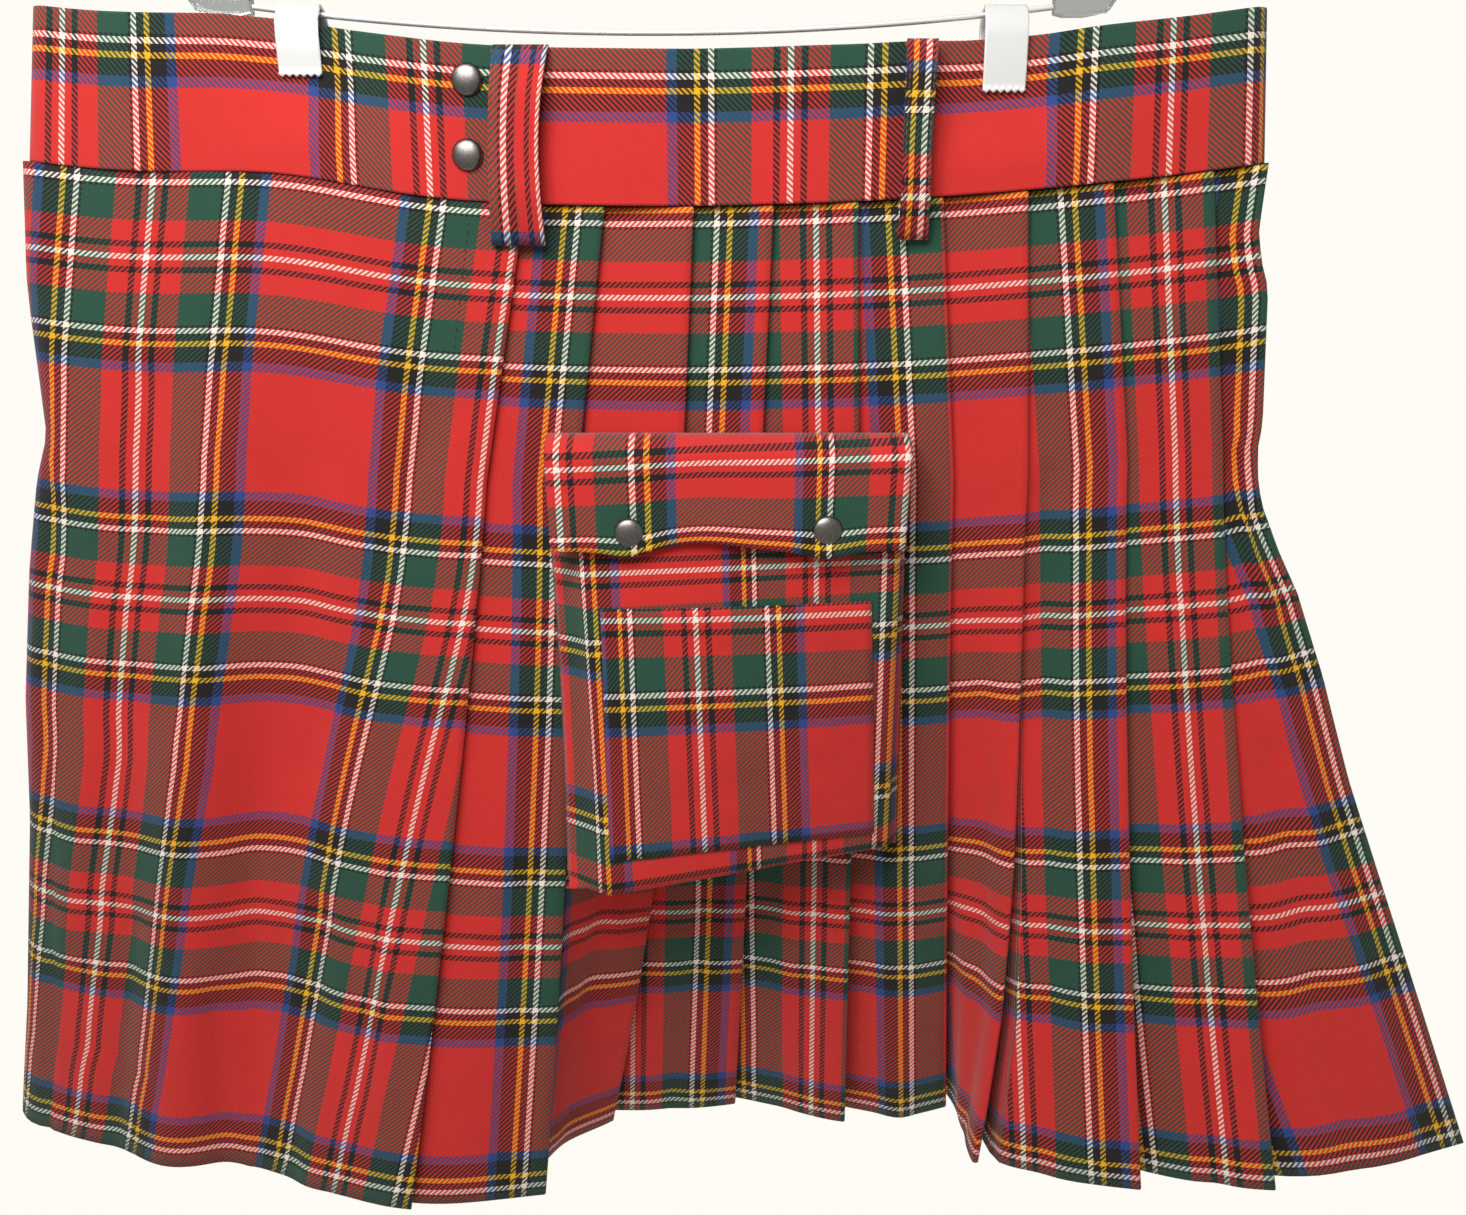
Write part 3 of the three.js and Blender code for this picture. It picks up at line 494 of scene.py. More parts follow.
# Where an edge isn't smooth, how far its x is off it at places down, and one panel's bows at the
# seam, where the others have none.
FOLDS[5]["kinks"] = [(0, 0), (150, 0), (230, 2.5), (310, 5), (380, 5), (430, 2), (458, 0)]
FOLDS[8]["kinks"] = [(0, 0), (20, -3), (28, -4), (40, -3), (52, 0), (110, -2), (132, -6),
                     (147, -7.5), (165, -6), (190, -2.5), (230, -1.5), (280, -3), (360, -1.5),
                     (458, 0)]
FOLDS[9]["seam_bows"] = (5, 3)
FRONT_FOLDS = 9
# Creases of each panel: share of the panel across and millimetres down at both ends, width in
# millimetres and height. A negative one is a hollow.
PANEL_CREASES = [
    [(0.5, 190, 0.42, 330, 7, 1.4), (0.7, 300, 0.62, 440, 6, -1.2)],
    [(0.6, 210, 0.5, 380, 8, -2.2), (0.3, 320, 0.36, 452, 6, 1.7), (0.8, 260, 0.7, 350, 5, 1.4)],
    [(0.45, 170, 0.55, 300, 7, 1.6), (0.62, 330, 0.5, 450, 7, -1.8)],
    [(0.4, 200, 0.5, 420, 8, 2), (0.75, 240, 0.7, 330, 5, -1.2)],
    [(0.55, 180, 0.45, 300, 6, 1.4), (0.35, 300, 0.48, 455, 8, 2.1)],
    [(0.5, 215, 0.62, 360, 8, -2.1), (0.3, 340, 0.45, 450, 7, 2.3), (0.75, 380, 0.6, 452, 6, -1.8)],
    [(0.5, 150, 0.42, 290, 7, 1.5), (0.66, 280, 0.72, 440, 8, 2), (0.3, 360, 0.34, 452, 6, -1.6),
     (0.17, 128, 0.2, 236, 8, -5)],
    [(0.45, 190, 0.55, 350, 8, 1.9), (0.7, 330, 0.6, 455, 7, -2)],
    [(0.5, 140, 0.62, 300, 9, 2), (0.35, 260, 0.4, 440, 9, -2.2), (0.75, 340, 0.7, 450, 7, 1.6),
     (0.3, 122, 0.85, 160, 4, -2.4), (0.45, 112, 0.95, 140, 4, 2.2), (0.3, 138, 0.6, 190, 5, 2)],
]


def back_along(line, length):
    """The point a length back from a line's end, and the level direction to the left there."""
    left = length
    for i in range(len(line) - 1, 0, -1):
        span = (line[i] - line[i - 1]).length
        if left <= span or i == 1:
            way = (line[i] - line[i - 1]).normalized()
            return line[i] - way * left, left_of(way)
        left -= span


def pleat_panel(start, end, fold, creases, down):
    """One panel in plan, bowed and creased, from inside the last fold to its own fold's edge."""
    t = below_hip(down)
    chord = end - start
    out = -left_of(chord.normalized())
    near, far = BOWS_AT
    seam_a, seam_b = fold.get("seam_bows", (0, 0))
    bow_a, bow_b = lerp(seam_a, fold["bows"][0], t), lerp(seam_b, fold["bows"][1], t)
    rise = (bow_b / (far * (1 - far)) - bow_a / (near * (1 - near))) / (far - near)
    base = bow_a / (near * (1 - near)) - near * rise
    creases = [(u0 * chord.length, y0, u1 * chord.length, y1, width, height)
               for u0, y0, u1, y1, width, height in creases]
    panel = []
    for i in range(PANEL_COLUMNS + 1):
        u = i / PANEL_COLUMNS
        bow = u * (1 - u) * (base + rise * u)
        bow += crease_at(creases, u * chord.length, down) * math.sin(math.pi * u)
        panel.append(start + chord * u + out * bow)
    return panel


def tuck(panel, thread, step):
    """The cloth behind a panel: over the fold's edge, back inside, turned there and out again.
    Its points, their threads, how many lie before the end of the turn, and the way inwards."""
    length = line_lengths(panel)[-1]
    hidden = max(HIDDEN_LEAST, min(length * HIDDEN_SHARE, (PLEAT_CLOTH - length) / 2))
    first = FOLD_GAP + (step - 2 * FOLD_GAP) * FIRST_STEP_SHARE
    tip, normal = back_along(panel, 0)
    way = Vector((normal.y, -normal.x))
    line = [tip + way * ahead + normal * over for ahead, over in FOLD_TIP]
    threads = [thread + more for more in TIP_THREADS]
    for i in range(HIDDEN_COLUMNS + 1):
        share = i / HIDDEN_COLUMNS
        spot, normal = back_along(panel, hidden * share)
        line.append(spot + normal * lerp(FOLD_GAP, first, share))
        threads.append(thread + BEHIND_THREADS + hidden * share / THREAD)
    inner, normal = back_along(panel, hidden)
    way = Vector((normal.y, -normal.x))
    line.append(inner - way * INNER_TURN + normal * (first + FOLD_GAP / 2))
    threads.append(thread + TURN_THREADS + hidden / THREAD)
    turned = len(line)
    for i in range(HIDDEN_COLUMNS):
        share = i / HIDDEN_COLUMNS
        spot, normal = back_along(panel, hidden * (1 - share))
        line.append(spot + normal * lerp(first + FOLD_GAP, step, share))
        threads.append(thread + OUT_THREADS + hidden * (1 + share) / THREAD)
    return line, threads, turned, normal


def pleat_line(down):
    """The whole pleated cloth in plan, the thread across at each of its points, and for each
    fold the number of points up to its turn inside."""
    t = below_hip(down)
    under = under_line(down)
    line = [under[UNDER_FIRST].lerp(under[UNDER_FIRST + 1], JOIN_SHARE)]
    line += [under[i] for i in range(UNDER_FIRST - 1, 0, -1)]
    threads = [0.0] * len(line)
    start = under[0]
    marks = []
    for number, fold in enumerate(FOLDS):
        rest_y = -WAIST_HALF_DEPTH if number < FRONT_FOLDS else WAIST_HALF_DEPTH
        end = edge_at(fold, down, rest_y)
        panel = pleat_panel(start, end, fold, PANEL_CREASES[number % FRONT_FOLDS], down)
        lengths = line_lengths(panel)
        thread = fold["thread"] + SETT * number
        line += panel
        threads += [thread - (lengths[-1] - s) / THREAD for s in lengths]
        if number == 0:
            joined = line_lengths(line[:len(line) - PANEL_COLUMNS])
            for i in range(len(joined) - 1):
                threads[i] = threads[len(joined) - 1] - (joined[-1] - joined[i]) / THREAD
        step = lerp(2 * FOLD_GAP, fold["step"], t ** STEP_POWER)
        inside, inside_threads, turned, inwards = tuck(panel, thread, step)
        marks.append(len(line) + turned)
        line += inside
        threads += inside_threads
        start = end + inwards * step
    fixed = edge_at(APRON_FIXED_EDGE, down, WAIST_HALF_DEPTH)
    last = [start.lerp(fixed, i / LAST_COLUMNS) for i in range(LAST_COLUMNS)]
    last.append(fixed - (fixed - start).normalized() * FIXED_SETBACK)
    line += last
    threads += [threads[-1] + (s + 1) / THREAD for s in line_lengths(last)]
    return line, threads, marks


pleat_rows = [pleat_line(down) for down in downs]
cut = pleat_rows[0][2][FRONT_FOLDS - 1]


def pleat_piece(name, node, columns):
    rows = [row[0][columns] for row in pleat_rows]
    threads = [[(u, weft(down, PLEAT_WHITE_LINE)) for u in row[1][columns]]
               for row, down in zip(pleat_rows, downs)]
    piece = sew(name, hung(rows, downs), threads, CLOTH_THICK)
    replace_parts(piece, node)


pleat_piece("pleats_side_seen", "pleats_front", slice(0, cut))
pleat_piece("pleats_side_hidden", "pleats_back", slice(cut, None))

# Waistband. One long strip of the same tartan, folded over a stiffener to 62 mm high. It starts
# at the back inside the left edge, goes right round the waist and ends on top of itself at the
# front, under the wide belt loop. The clips press it flat near its top.
WAIST_LEFT, WAIST_RIGHT = -266, 260
BAND_THICK = 2.2
BAND_INSET = 2.6
BAND_OVER_END_X, BAND_UNDER_END_X = -57, -110
# How far past its over end the band lies under it, half out, out and straight again. Its front
# that shows is counted from FRONT_FROM past that end.
STEP_UNDER, STEP_HALF, STEP_OUT, STEP_ENDS = 2, 8, 14, 18
FRONT_FROM = 12
CLIP_X = 147.5
PINCH_LEFT, PINCH_RIGHT = 4.0, 3.2
PINCH_FLAT, PINCH_ALONG, PINCH_DOWN, CLIP_GRIP = 12.5, 18, 50, 22
BAND_ROWS = [0, 1.2, 4, 8, 12, 17, 22, 29, 36, 43, 50, 54, 58, 61, 62]
BAND_THREAD = 0.445
BAND_TOP_THREAD = 126.7
OVER_WHITE_X, OVER_THREAD = -249.5, 0.443
UNDER_WHITE_X, UNDER_THREAD = 57.7, 0.457
BAND_COLUMN, BAND_TURN_COLUMNS = 6, 10
LEAN_FROM, BAND_LEFT_LEAN, BAND_RIGHT_LEAN = 170, 9, 4.5
# Places along the front where the band stands off a little: x, width and height.
BAND_WAVES = [(-222, 14, 0.7), (-190, 9, -0.5), (-98, 12, 0.6), (-20, 16, 0.5), (18, 11, -0.6),
              (62, 15, 0.7), (88, 8, -0.4), (190, 13, 0.6), (226, 12, -0.6)]


def band_half_depth(x, below_top):
    beyond = max(0, abs(abs(x) - CLIP_X) - PINCH_FLAT)
    near = hill(beyond, 0, PINCH_ALONG) * share_of(below_top, PINCH_DOWN, CLIP_GRIP)
    return lerp(WAIST_HALF_DEPTH, PINCH_LEFT if x < 0 else PINCH_RIGHT, near)


def band_straight(start, end, side, inset):
    count = max(1, round(abs(end - start) / BAND_COLUMN))
    return [(lerp(start, end, i / count), side, inset) for i in range(count + 1)]


def lean_in(x, share):
    """Where a place on the band goes when its ends lean in toward the top."""
    if abs(x) < LEAN_FROM:
        return x
    end, lean = (WAIST_LEFT, BAND_LEFT_LEAN) if x < 0 else (WAIST_RIGHT, -BAND_RIGHT_LEAN)
    return x + lean * share * (abs(x) - LEAN_FROM) / (abs(end) - LEAN_FROM)


def band_line(below_top):
    """The waistband in plan at one height, with how far each point is along the band."""
    left_centre, right_centre = WAIST_LEFT + WAIST_HALF_DEPTH, WAIST_RIGHT - WAIST_HALF_DEPTH
    end = BAND_OVER_END_X
    runs = [band_straight(BAND_UNDER_END_X, left_centre, 1, BAND_INSET), left_centre,
            band_straight(left_centre, end + STEP_UNDER, -1, BAND_INSET)
            + [(end + STEP_HALF, -1, BAND_INSET / 2), (end + STEP_OUT, -1, 0)]
            + band_straight(end + STEP_ENDS, right_centre, -1, 0), right_centre,
            band_straight(right_centre, left_centre, 1, 0), left_centre,
            band_straight(left_centre, end, -1, 0)]
    line = []
    for number, run in enumerate(runs):
        if isinstance(run, list):
            for x, side, inset in run:
                wave = sum(height * hill(x, at, width) for at, width, height in BAND_WAVES)
                depth = band_half_depth(x, below_top) - inset + (wave if not inset else 0)
                line.append(Vector((x, side * depth)))
            continue
        x, side, inset = runs[number - 1][-1]
        radius = WAIST_HALF_DEPTH - inset
        away = -1 if run == left_centre else 1
        for i in range(1, BAND_TURN_COLUMNS):
            angle = math.pi * i / BAND_TURN_COLUMNS
            line.append(Vector((run + away * radius * math.sin(angle),
                                side * radius * math.cos(angle))))
    above_seam = 1 - below_top / BAND_HEIGHT
    return [Vector((lean_in(p.x, above_seam), p.y)) for p in line]


band_lines = [band_line(below_top) for below_top in BAND_ROWS]
band_grid = [[Vector((p.x, p.y, band_top(p.x) - below_top)) for p in line]
             for line, below_top in zip(band_lines, BAND_ROWS)]
band_lengths = line_lengths(band_lines[-1])
front_start = next(i for i, p in enumerate(band_lines[-1])
                   if p.x > BAND_OVER_END_X + FRONT_FROM)
front_end = next(i for i, p in enumerate(band_lines[-1]) if p.x > WAIST_RIGHT - WAIST_HALF_DEPTH)
over_start = next(i for i in range(len(band_lengths) - 1, 0, -1) if band_lines[-1][i].y > 0)


def band_threads(i):
    """The thread across at one point of the band's foot."""
    if i <= front_end:
        run = band_lengths[i] - band_lengths[front_start]
        return SETT / 2 + (band_lines[-1][front_start].x - UNDER_WHITE_X + run) / UNDER_THREAD
    right = band_threads(front_end)
    if i < over_start:
        back = band_lengths[over_start] - band_lengths[front_end]
        over = band_threads(over_start)
        over += SETT * round((right + back / UNDER_THREAD - over) / SETT)
        return lerp(right, over, (band_lengths[i] - band_lengths[front_end]) / back)
    x_run = band_lines[-1][-1].x - (band_lengths[-1] - band_lengths[i])
    return SETT / 2 + (x_run - OVER_WHITE_X) / OVER_THREAD


# The over end's threads carry on the count of the back, so that no stripe jumps between them.
band_across = [band_threads(i) for i in range(len(band_lengths))]
jump = SETT * round((band_across[over_start - 1] - band_across[over_start]) / SETT)
band_across = [u + jump if i >= over_start else u for i, u in enumerate(band_across)]
waistband = sew("waistband_cloth", band_grid,
                [[(u, BAND_TOP_THREAD - below_top / BAND_THREAD) for u in band_across]
                 for below_top in BAND_ROWS], BAND_THICK)
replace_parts(waistband, "waistband")

# Seam stitching. Polyester sewing thread: single runs of small stitches beside the fold edges,
# along the waistband's foot and beside the apron's free edge, pulled a little into the cloth.
STITCH_LENGTH, STITCH_GAP, STITCH_WIDTH, STITCH_RISE, STITCH_SINK = 2.4, 1.3, 0.55, 0.32, 0.1
STITCH_LIFT = 0.05
PLY_SCALE, PLY_SHADE = 2600, 0.7


def thread_material(name, colour):
    material, tree, shader = new_material(name, {"Roughness": 0.7})
    ply = noise(tree, tree.nodes.new("ShaderNodeTexCoord").outputs["Object"], PLY_SCALE, 1)
    tree.links.new(mix_colour(tree, ply, dye([c * PLY_SHADE for c in colour]), dye(colour)),
                   shader.inputs["Base Color"])
    return material


red_thread = thread_material("Red sewing thread", (205, 62, 60))
dark_thread = thread_material("Dark sewing thread", (58, 24, 24))
pale_thread = thread_material("Pale red sewing thread", (232, 120, 112))


def stitches(points, normals, length=STITCH_LENGTH, gap=STITCH_GAP, width=STITCH_WIDTH):
    """Points and faces of one run of stitches laid along a line on the cloth."""
    verts, faces = [], []
    lengths = line_lengths(points)
    at, step = gap, length + gap
    while at + length < lengths[-1]:
        ends = []
        for place in (at, at + length):
            i = next(k for k in range(1, len(lengths)) if lengths[k] >= place)
            share = (place - lengths[i - 1]) / max(1e-6, lengths[i] - lengths[i - 1])
            ends.append((points[i - 1].lerp(points[i], share), normals[i]))
        (start, n), (end, _) = ends
        side = (end - start).normalized().cross(n) * width / 2
        middle = (start + end) / 2
        base = len(verts)
        verts += [start - n * STITCH_SINK, middle + side, middle + n * STITCH_RISE,
                  middle - side, end - n * STITCH_SINK]
        faces += [(base, base + 1, base + 2), (base, base + 2, base + 3),
                  (base + 4, base + 2, base + 1), (base + 4, base + 3, base + 2)]
        at += step
    return verts, faces


def thread_piece(name, runs, material=red_thread):
    """All runs of stitching of one kind as one piece."""
    verts, faces = [], []
    for points, normals, *sizes in runs:
        run_verts, run_faces = stitches(points, normals, *sizes)
        faces += [tuple(i + len(verts) for i in face) for face in run_faces]
        verts += run_verts
    mesh = new_mesh(name, [v * MM for v in verts], faces, material)
    new_piece(name, mesh)


def grid_normal(grid, r, c):
    along = grid[r][min(c + 1, len(grid[r]) - 1)] - grid[r][max(c - 1, 0)]
    fall = grid[min(r + 1, len(grid) - 1)][c] - grid[max(r - 1, 0)][c]
    return along.cross(fall).normalized()


def run_across(grid, row, columns, lift, way=1):
    """A line across a cloth at one row, on the side the layer shows."""
    normals = [grid_normal(grid, row, c) * way for c in columns]
    return [grid[row][c] + n * lift for c, n in zip(columns, normals)], normals


def run_down(grid, rows, column, share, lift, way=1):
    """A line down a cloth between two of its columns."""
    normals = [grid_normal(grid, r, column) * way for r in rows]
    return [grid[r][column].lerp(grid[r][column + 1], share) + n * lift
            for r, n in zip(rows, normals)], normals


BAND_STITCH_ROW = 11
band_outside = list(range(front_start + 1, len(band_lengths)))
thread_piece("waistband_stitching",
             [run_across(band_grid, BAND_STITCH_ROW, band_outside,
                         -BAND_THICK / 2 - STITCH_LIFT, -1)])
pleat_grid = hung([row[0] for row in pleat_rows], downs)
STITCHED_ROWS = range(1, 20)
columns_in_pleat = pleat_rows[0][2][1] - pleat_rows[0][2][0]
# The column on the first fold's edge, counted back from its turn inside, and how far past it the
# stitches lie.
first_edge = pleat_rows[0][2][0] - HIDDEN_COLUMNS - len(FOLD_TIP) - 3
PAST_EDGE = 0.1
fold_runs = [run_down(pleat_grid, STITCHED_ROWS, first_edge + columns_in_pleat * n, PAST_EDGE,
                      -CLOTH_THICK / 2 - STITCH_LIFT, -1) for n in range(len(FOLDS))]
DARK_FOLDS = (3, 7, 12)
thread_piece("pleat_stitching", [run for n, run in enumerate(fold_runs) if n not in DARK_FOLDS])
thread_piece("pleat_stitching_dark", [run for n, run in enumerate(fold_runs) if n in DARK_FOLDS],
             dark_thread)
apron_grid = hung(apron_rows, downs)
FACING_ROWS, FACING_COLUMN = range(1, 10), 7
thread_piece("apron_facing_stitching",
             [run_down(apron_grid, FACING_ROWS, FACING_COLUMN, 0, CLOTH_THICK / 2 + STITCH_LIFT)],
             dark_thread)

# Belt loops. Folded strips of the same tartan, tacked to the waistband's top edge and again just
# below its seam with dense bar tacks, and standing off between them. The wide one covers the
# waistband's over end.
LOOP_STAND_OFF, LOOP_FULL, LOOP_ROUND = 6.6, 1.25, 0.7
LOOP_NECK, LOOP_CROWN, LOOP_LEAN_ENDS = 0.1, 0.7, 0.625
LOOP_THICK = 1.6
LOOP_BELOW_SEAM = 17
LOOP_ROWS, LOOP_COLUMNS = 26, 25
LOOPS = [
    {"name": "belt_loop_wide", "x": -54, "width": 23, "side": -1, "lean": -3.6,
     "across": [(0, 234), (0.32, 248), (0.55, 259), (0.56, 500), (0.76, 512), (0.95, 524),
                (1, 528)],
     "down": [(0, 276), (6, 284), (76, 416), (80, 424)]},
    {"name": "belt_loop_narrow", "x": 112, "width": 13, "side": -1, "lean": -2.0,
     "across": [(0, 270), (0.3, 260.5), (0.68, 248), (1, 240)], "down": [(0, 308), (80, 138)]},
    {"name": "belt_loop_back_right", "x": 100, "width": 15, "side": 1, "lean": 1.0,
     "across": [(0, 60), (1, 94)], "down": [(0, 210), (80, 40)]},
    {"name": "belt_loop_back_left", "x": -117, "width": 15, "side": 1, "lean": -0.6,
     "across": [(0, 236), (1, 270)], "down": [(0, 120), (80, 290)]},
]
LOOP_STITCH_COLUMNS = (2, LOOP_COLUMNS - 3)
TACK_DROP, TACK_PITCH, TACK_SLANT, TACK_WIDTH = 1.1, 0.5, 0.35, 0.5
TACK_BELOW_TOP, TACK_ABOVE_FOOT = 2.2, 3.4
TACK_SHORTER, TACK_GAP = 0.1, 0.02


def loop_grid(loop):
    length = BAND_HEIGHT + LOOP_BELOW_SEAM
    grid, threads = [], []
    for i in range(LOOP_ROWS + 1):
        u = i / LOOP_ROWS
        middle = math.sin(math.pi * u)
        off = LOOP_STAND_OFF * min(1, LOOP_FULL * middle ** LOOP_ROUND)
        depth = max(band_half_depth(loop["x"] + way * loop["width"] / 2, u * length)
                    for way in (-1, 1))
        seat = depth + BAND_THICK / 2 + SEAM_GAP + LOOP_THICK / 2
        line = []
        for j in range(LOOP_COLUMNS + 1):
            across = j / LOOP_COLUMNS
            x = loop["x"] + (across - 0.5) * loop["width"] * (1 - LOOP_NECK * middle)
            x += loop["lean"] * math.sin(math.pi / 2 * share_of(u, 0, LOOP_LEAN_ENDS))
            crown = LOOP_CROWN * math.sin(math.pi * across) * middle
            line.append(Vector((x, loop["side"] * (seat + off + crown),
                                band_top(loop["x"]) - u * length)))
        grid.append(line)
        threads.append([(read_off(loop["across"], j / LOOP_COLUMNS),
                         read_off(loop["down"], u * length)) for j in range(LOOP_COLUMNS + 1)])
    return grid, threads


def bar_tack(centre, width, side):
    """Zigzag threads of one bar tack as short runs that lie across each other."""
    runs = []
    count = round(width / TACK_PITCH)
    for i in range(count):
        top = centre + Vector((width * (i / count - 0.5), 0, TACK_DROP))
        ends = [top, top + Vector((TACK_SLANT, 0, -2 * TACK_DROP))]
        runs.append((ends, [Vector((0, side, 0))] * 2, 2 * TACK_DROP - TACK_SHORTER, TACK_GAP,
                     TACK_WIDTH))
    return runs


tack_runs, loop_runs = [], []
for loop in LOOPS:
    grid, threads = loop_grid(loop)
    piece = sew(loop["name"] + "_cloth", grid, threads, LOOP_THICK)
    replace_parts(piece, loop["name"])
    face = loop["side"] * (LOOP_THICK / 2 + STITCH_LIFT)
    for column in LOOP_STITCH_COLUMNS:
        loop_runs.append(run_down(grid, range(2, LOOP_ROWS - 1), column, 0.5, face))
    for row, up in ((0, -TACK_BELOW_TOP), (LOOP_ROWS, TACK_ABOVE_FOOT)):
        spot = grid[row][LOOP_COLUMNS // 2] + Vector((0, face, up))
        tack_runs += bar_tack(spot, loop["width"] + 1, loop["side"])
thread_piece("belt_loop_stitching", loop_runs, pale_thread)
thread_piece("belt_loop_tacks", tack_runs)

# Snaps. Ring snaps with domed caps in gunmetal finish, two on the waistband's over end and two
# on the flap. Only their caps show.
SNAP_RADIUS, SNAP_HEIGHT = 6.6, 3.0
SNAP_SIDES = 40
WAIST_SNAPS = [(-77, -153.6), (-78, -183.3)]

gunmetal, tree, shader = new_material("Gunmetal", {"Metallic": 1.0, "Roughness": 0.34})
worn = noise(tree, tree.nodes.new("ShaderNodeTexCoord").outputs["Object"], 900, 3)
tree.links.new(mix_colour(tree, worn, dye((84, 80, 78)), dye((138, 132, 128))),
               shader.inputs["Base Color"])


def turned(name, centre, profile, sides, tilt=0):
    """A round part whose profile (radius, height) stands toward the viewer."""
    points, faces = [], []
    for radius, height in profile:
        for i in range(sides):
            angle = 2 * math.pi * i / sides
            p = Vector((radius * math.cos(angle), -height, radius * math.sin(angle)))
            points.append((centre + p + Vector((0, p.z * tilt, 0))) * MM)
    for r in range(len(profile) - 1):
        for i in range(sides):
            j = (i + 1) % sides
            faces.append((r * sides + i, r * sides + j, (r + 1) * sides + j, (r + 1) * sides + i))
    faces.append(tuple(range(sides))[::-1])
    faces.append(tuple(range((len(profile) - 1) * sides, len(profile) * sides)))
    mesh = new_mesh(name, points, faces, gunmetal)
    mesh.shade_smooth()
    mesh.set_sharp_from_angle(angle=math.radians(50))
    return new_piece(name, mesh)


dome = [(SNAP_RADIUS - 0.3, 0), (SNAP_RADIUS, 0.3), (SNAP_RADIUS, 0.7), (SNAP_RADIUS - 0.25, 1.0)]
dome += [(SNAP_RADIUS * 0.955 * math.cos(a), 1.0 + (SNAP_HEIGHT - 1.0) * math.sin(a))
         for a in [math.pi / 2 * k / 9 for k in range(1, 9)]] + [(0.15, SNAP_HEIGHT)]
band_face = -WAIST_HALF_DEPTH - BAND_THICK / 2
for number, (x, z) in enumerate(WAIST_SNAPS, 1):
    snap = turned(f"waist_snap_cap_{number}", Vector((x, band_face + 0.1, z)), dome, SNAP_SIDES)
    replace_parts(snap, f"waist_snap_{number}")

# Cargo pocket. A bellows pocket of tartan: a front panel with topstitched edges, a gusset round
# its sides and foot, and a back panel sewn to the pleats. A plain patch pocket is stitched on its
# front.
POCKET_TOP = {"z": -314, "left": -36, "right": 107, "front": -23, "depth": 12}
POCKET_LEFT = {"x": -22, "y": -45, "z": -502, "depth": 16}
POCKET_RIGHT = {"x": 106, "y": -11, "z": -493, "depth": 11.5}
POCKET_POWER = 1.5
POCKET_PUFF, PUFF_POWER, PUFF_REACH = 2.6, 0.7, 1.02
POCKET_ROWS, FRONT_COLUMNS, GUSSET_COLUMNS, BACK_COLUMNS = 36, 40, 8, 8
POCKET_ACROSS = [(0, 243), (0.012, 248), (0.046, 260.5), (0.129, 289), (0.445, 411),
                 (0.513, 439.5), (0.544, 452), (0.74, 525), (0.956, 598), (1, 613)]
POCKET_DOWN_START, POCKET_THREAD = 68.3, 0.397
POCKET_SKEW, POCKET_SIDE_THREAD, POCKET_BACK_THREADS = 16, 0.4, (30, 330)
SAG_TURN, SAG_LEFT, SAG_RIGHT = 0.3, (11, 10), 25
FOOT_SHUT, FOOT_DROP, FOOT_THREADS = (0.35, 0.7, 0.97), 0.4, 4
POCKET_THICK = 1.2
CREASE_SPAN = (130, 185)
POCKET_CREASES = [(20, 60, 100, 74, 7, 0.9), (30, 150, 112, 136, 6, -0.8),
                  (96, 90, 118, 168, 8, 1.0), (14, 96, 22, 176, 7, 0.8),
                  (60, 164, 84, 184, 7, -0.7)]
# How much wider the pocket is at its back than at its front, at its top and more at its foot, and
# how far its gussets fold in.
FLARE_RIGHT, FLARE_LEFT, DENT_RIGHT, DENT_LEFT = (3, 3), (14, 6), -2, 1.5


def pocket_point(across, down, out=0.0):
    """A place on the pocket's front: across and down run from 0 to 1."""
    swing = down ** POCKET_POWER
    x = lerp(lerp(POCKET_TOP["left"], POCKET_LEFT["x"], down),
             lerp(POCKET_TOP["right"], POCKET_RIGHT["x"], down), across)
    y = POCKET_TOP["front"] + swing * (
        lerp(POCKET_LEFT["y"], POCKET_RIGHT["y"], across) - POCKET_TOP["front"])
    z = lerp(POCKET_TOP["z"], lerp(POCKET_LEFT["z"], POCKET_RIGHT["z"], across), down)
    puff = POCKET_PUFF * math.sin(math.pi * across) ** PUFF_POWER
    puff *= math.sin(math.pi * min(1, down * PUFF_REACH))
    spot = (across * CREASE_SPAN[0], down * CREASE_SPAN[1])
    puff += crease_at(POCKET_CREASES, *spot) * math.sin(math.pi * across)
    return Vector((x, y - puff - out, z))


def pocket_depth(across, down):
    foot = lerp(POCKET_LEFT["depth"], POCKET_RIGHT["depth"], across)
    return lerp(POCKET_TOP["depth"], foot, down)


def gusset_point(across, flare, dent, share, down):
    """A place on a gusset, and how many threads it lies behind the front's edge."""
    depth = pocket_depth(across, down)
    fold = dent * math.sin(math.pi * share) * math.sin(math.pi * down)
    spot = pocket_point(across, down) + Vector((flare * share + fold, depth * share, 0))
    return spot, math.hypot(depth, flare) * share / POCKET_SIDE_THREAD


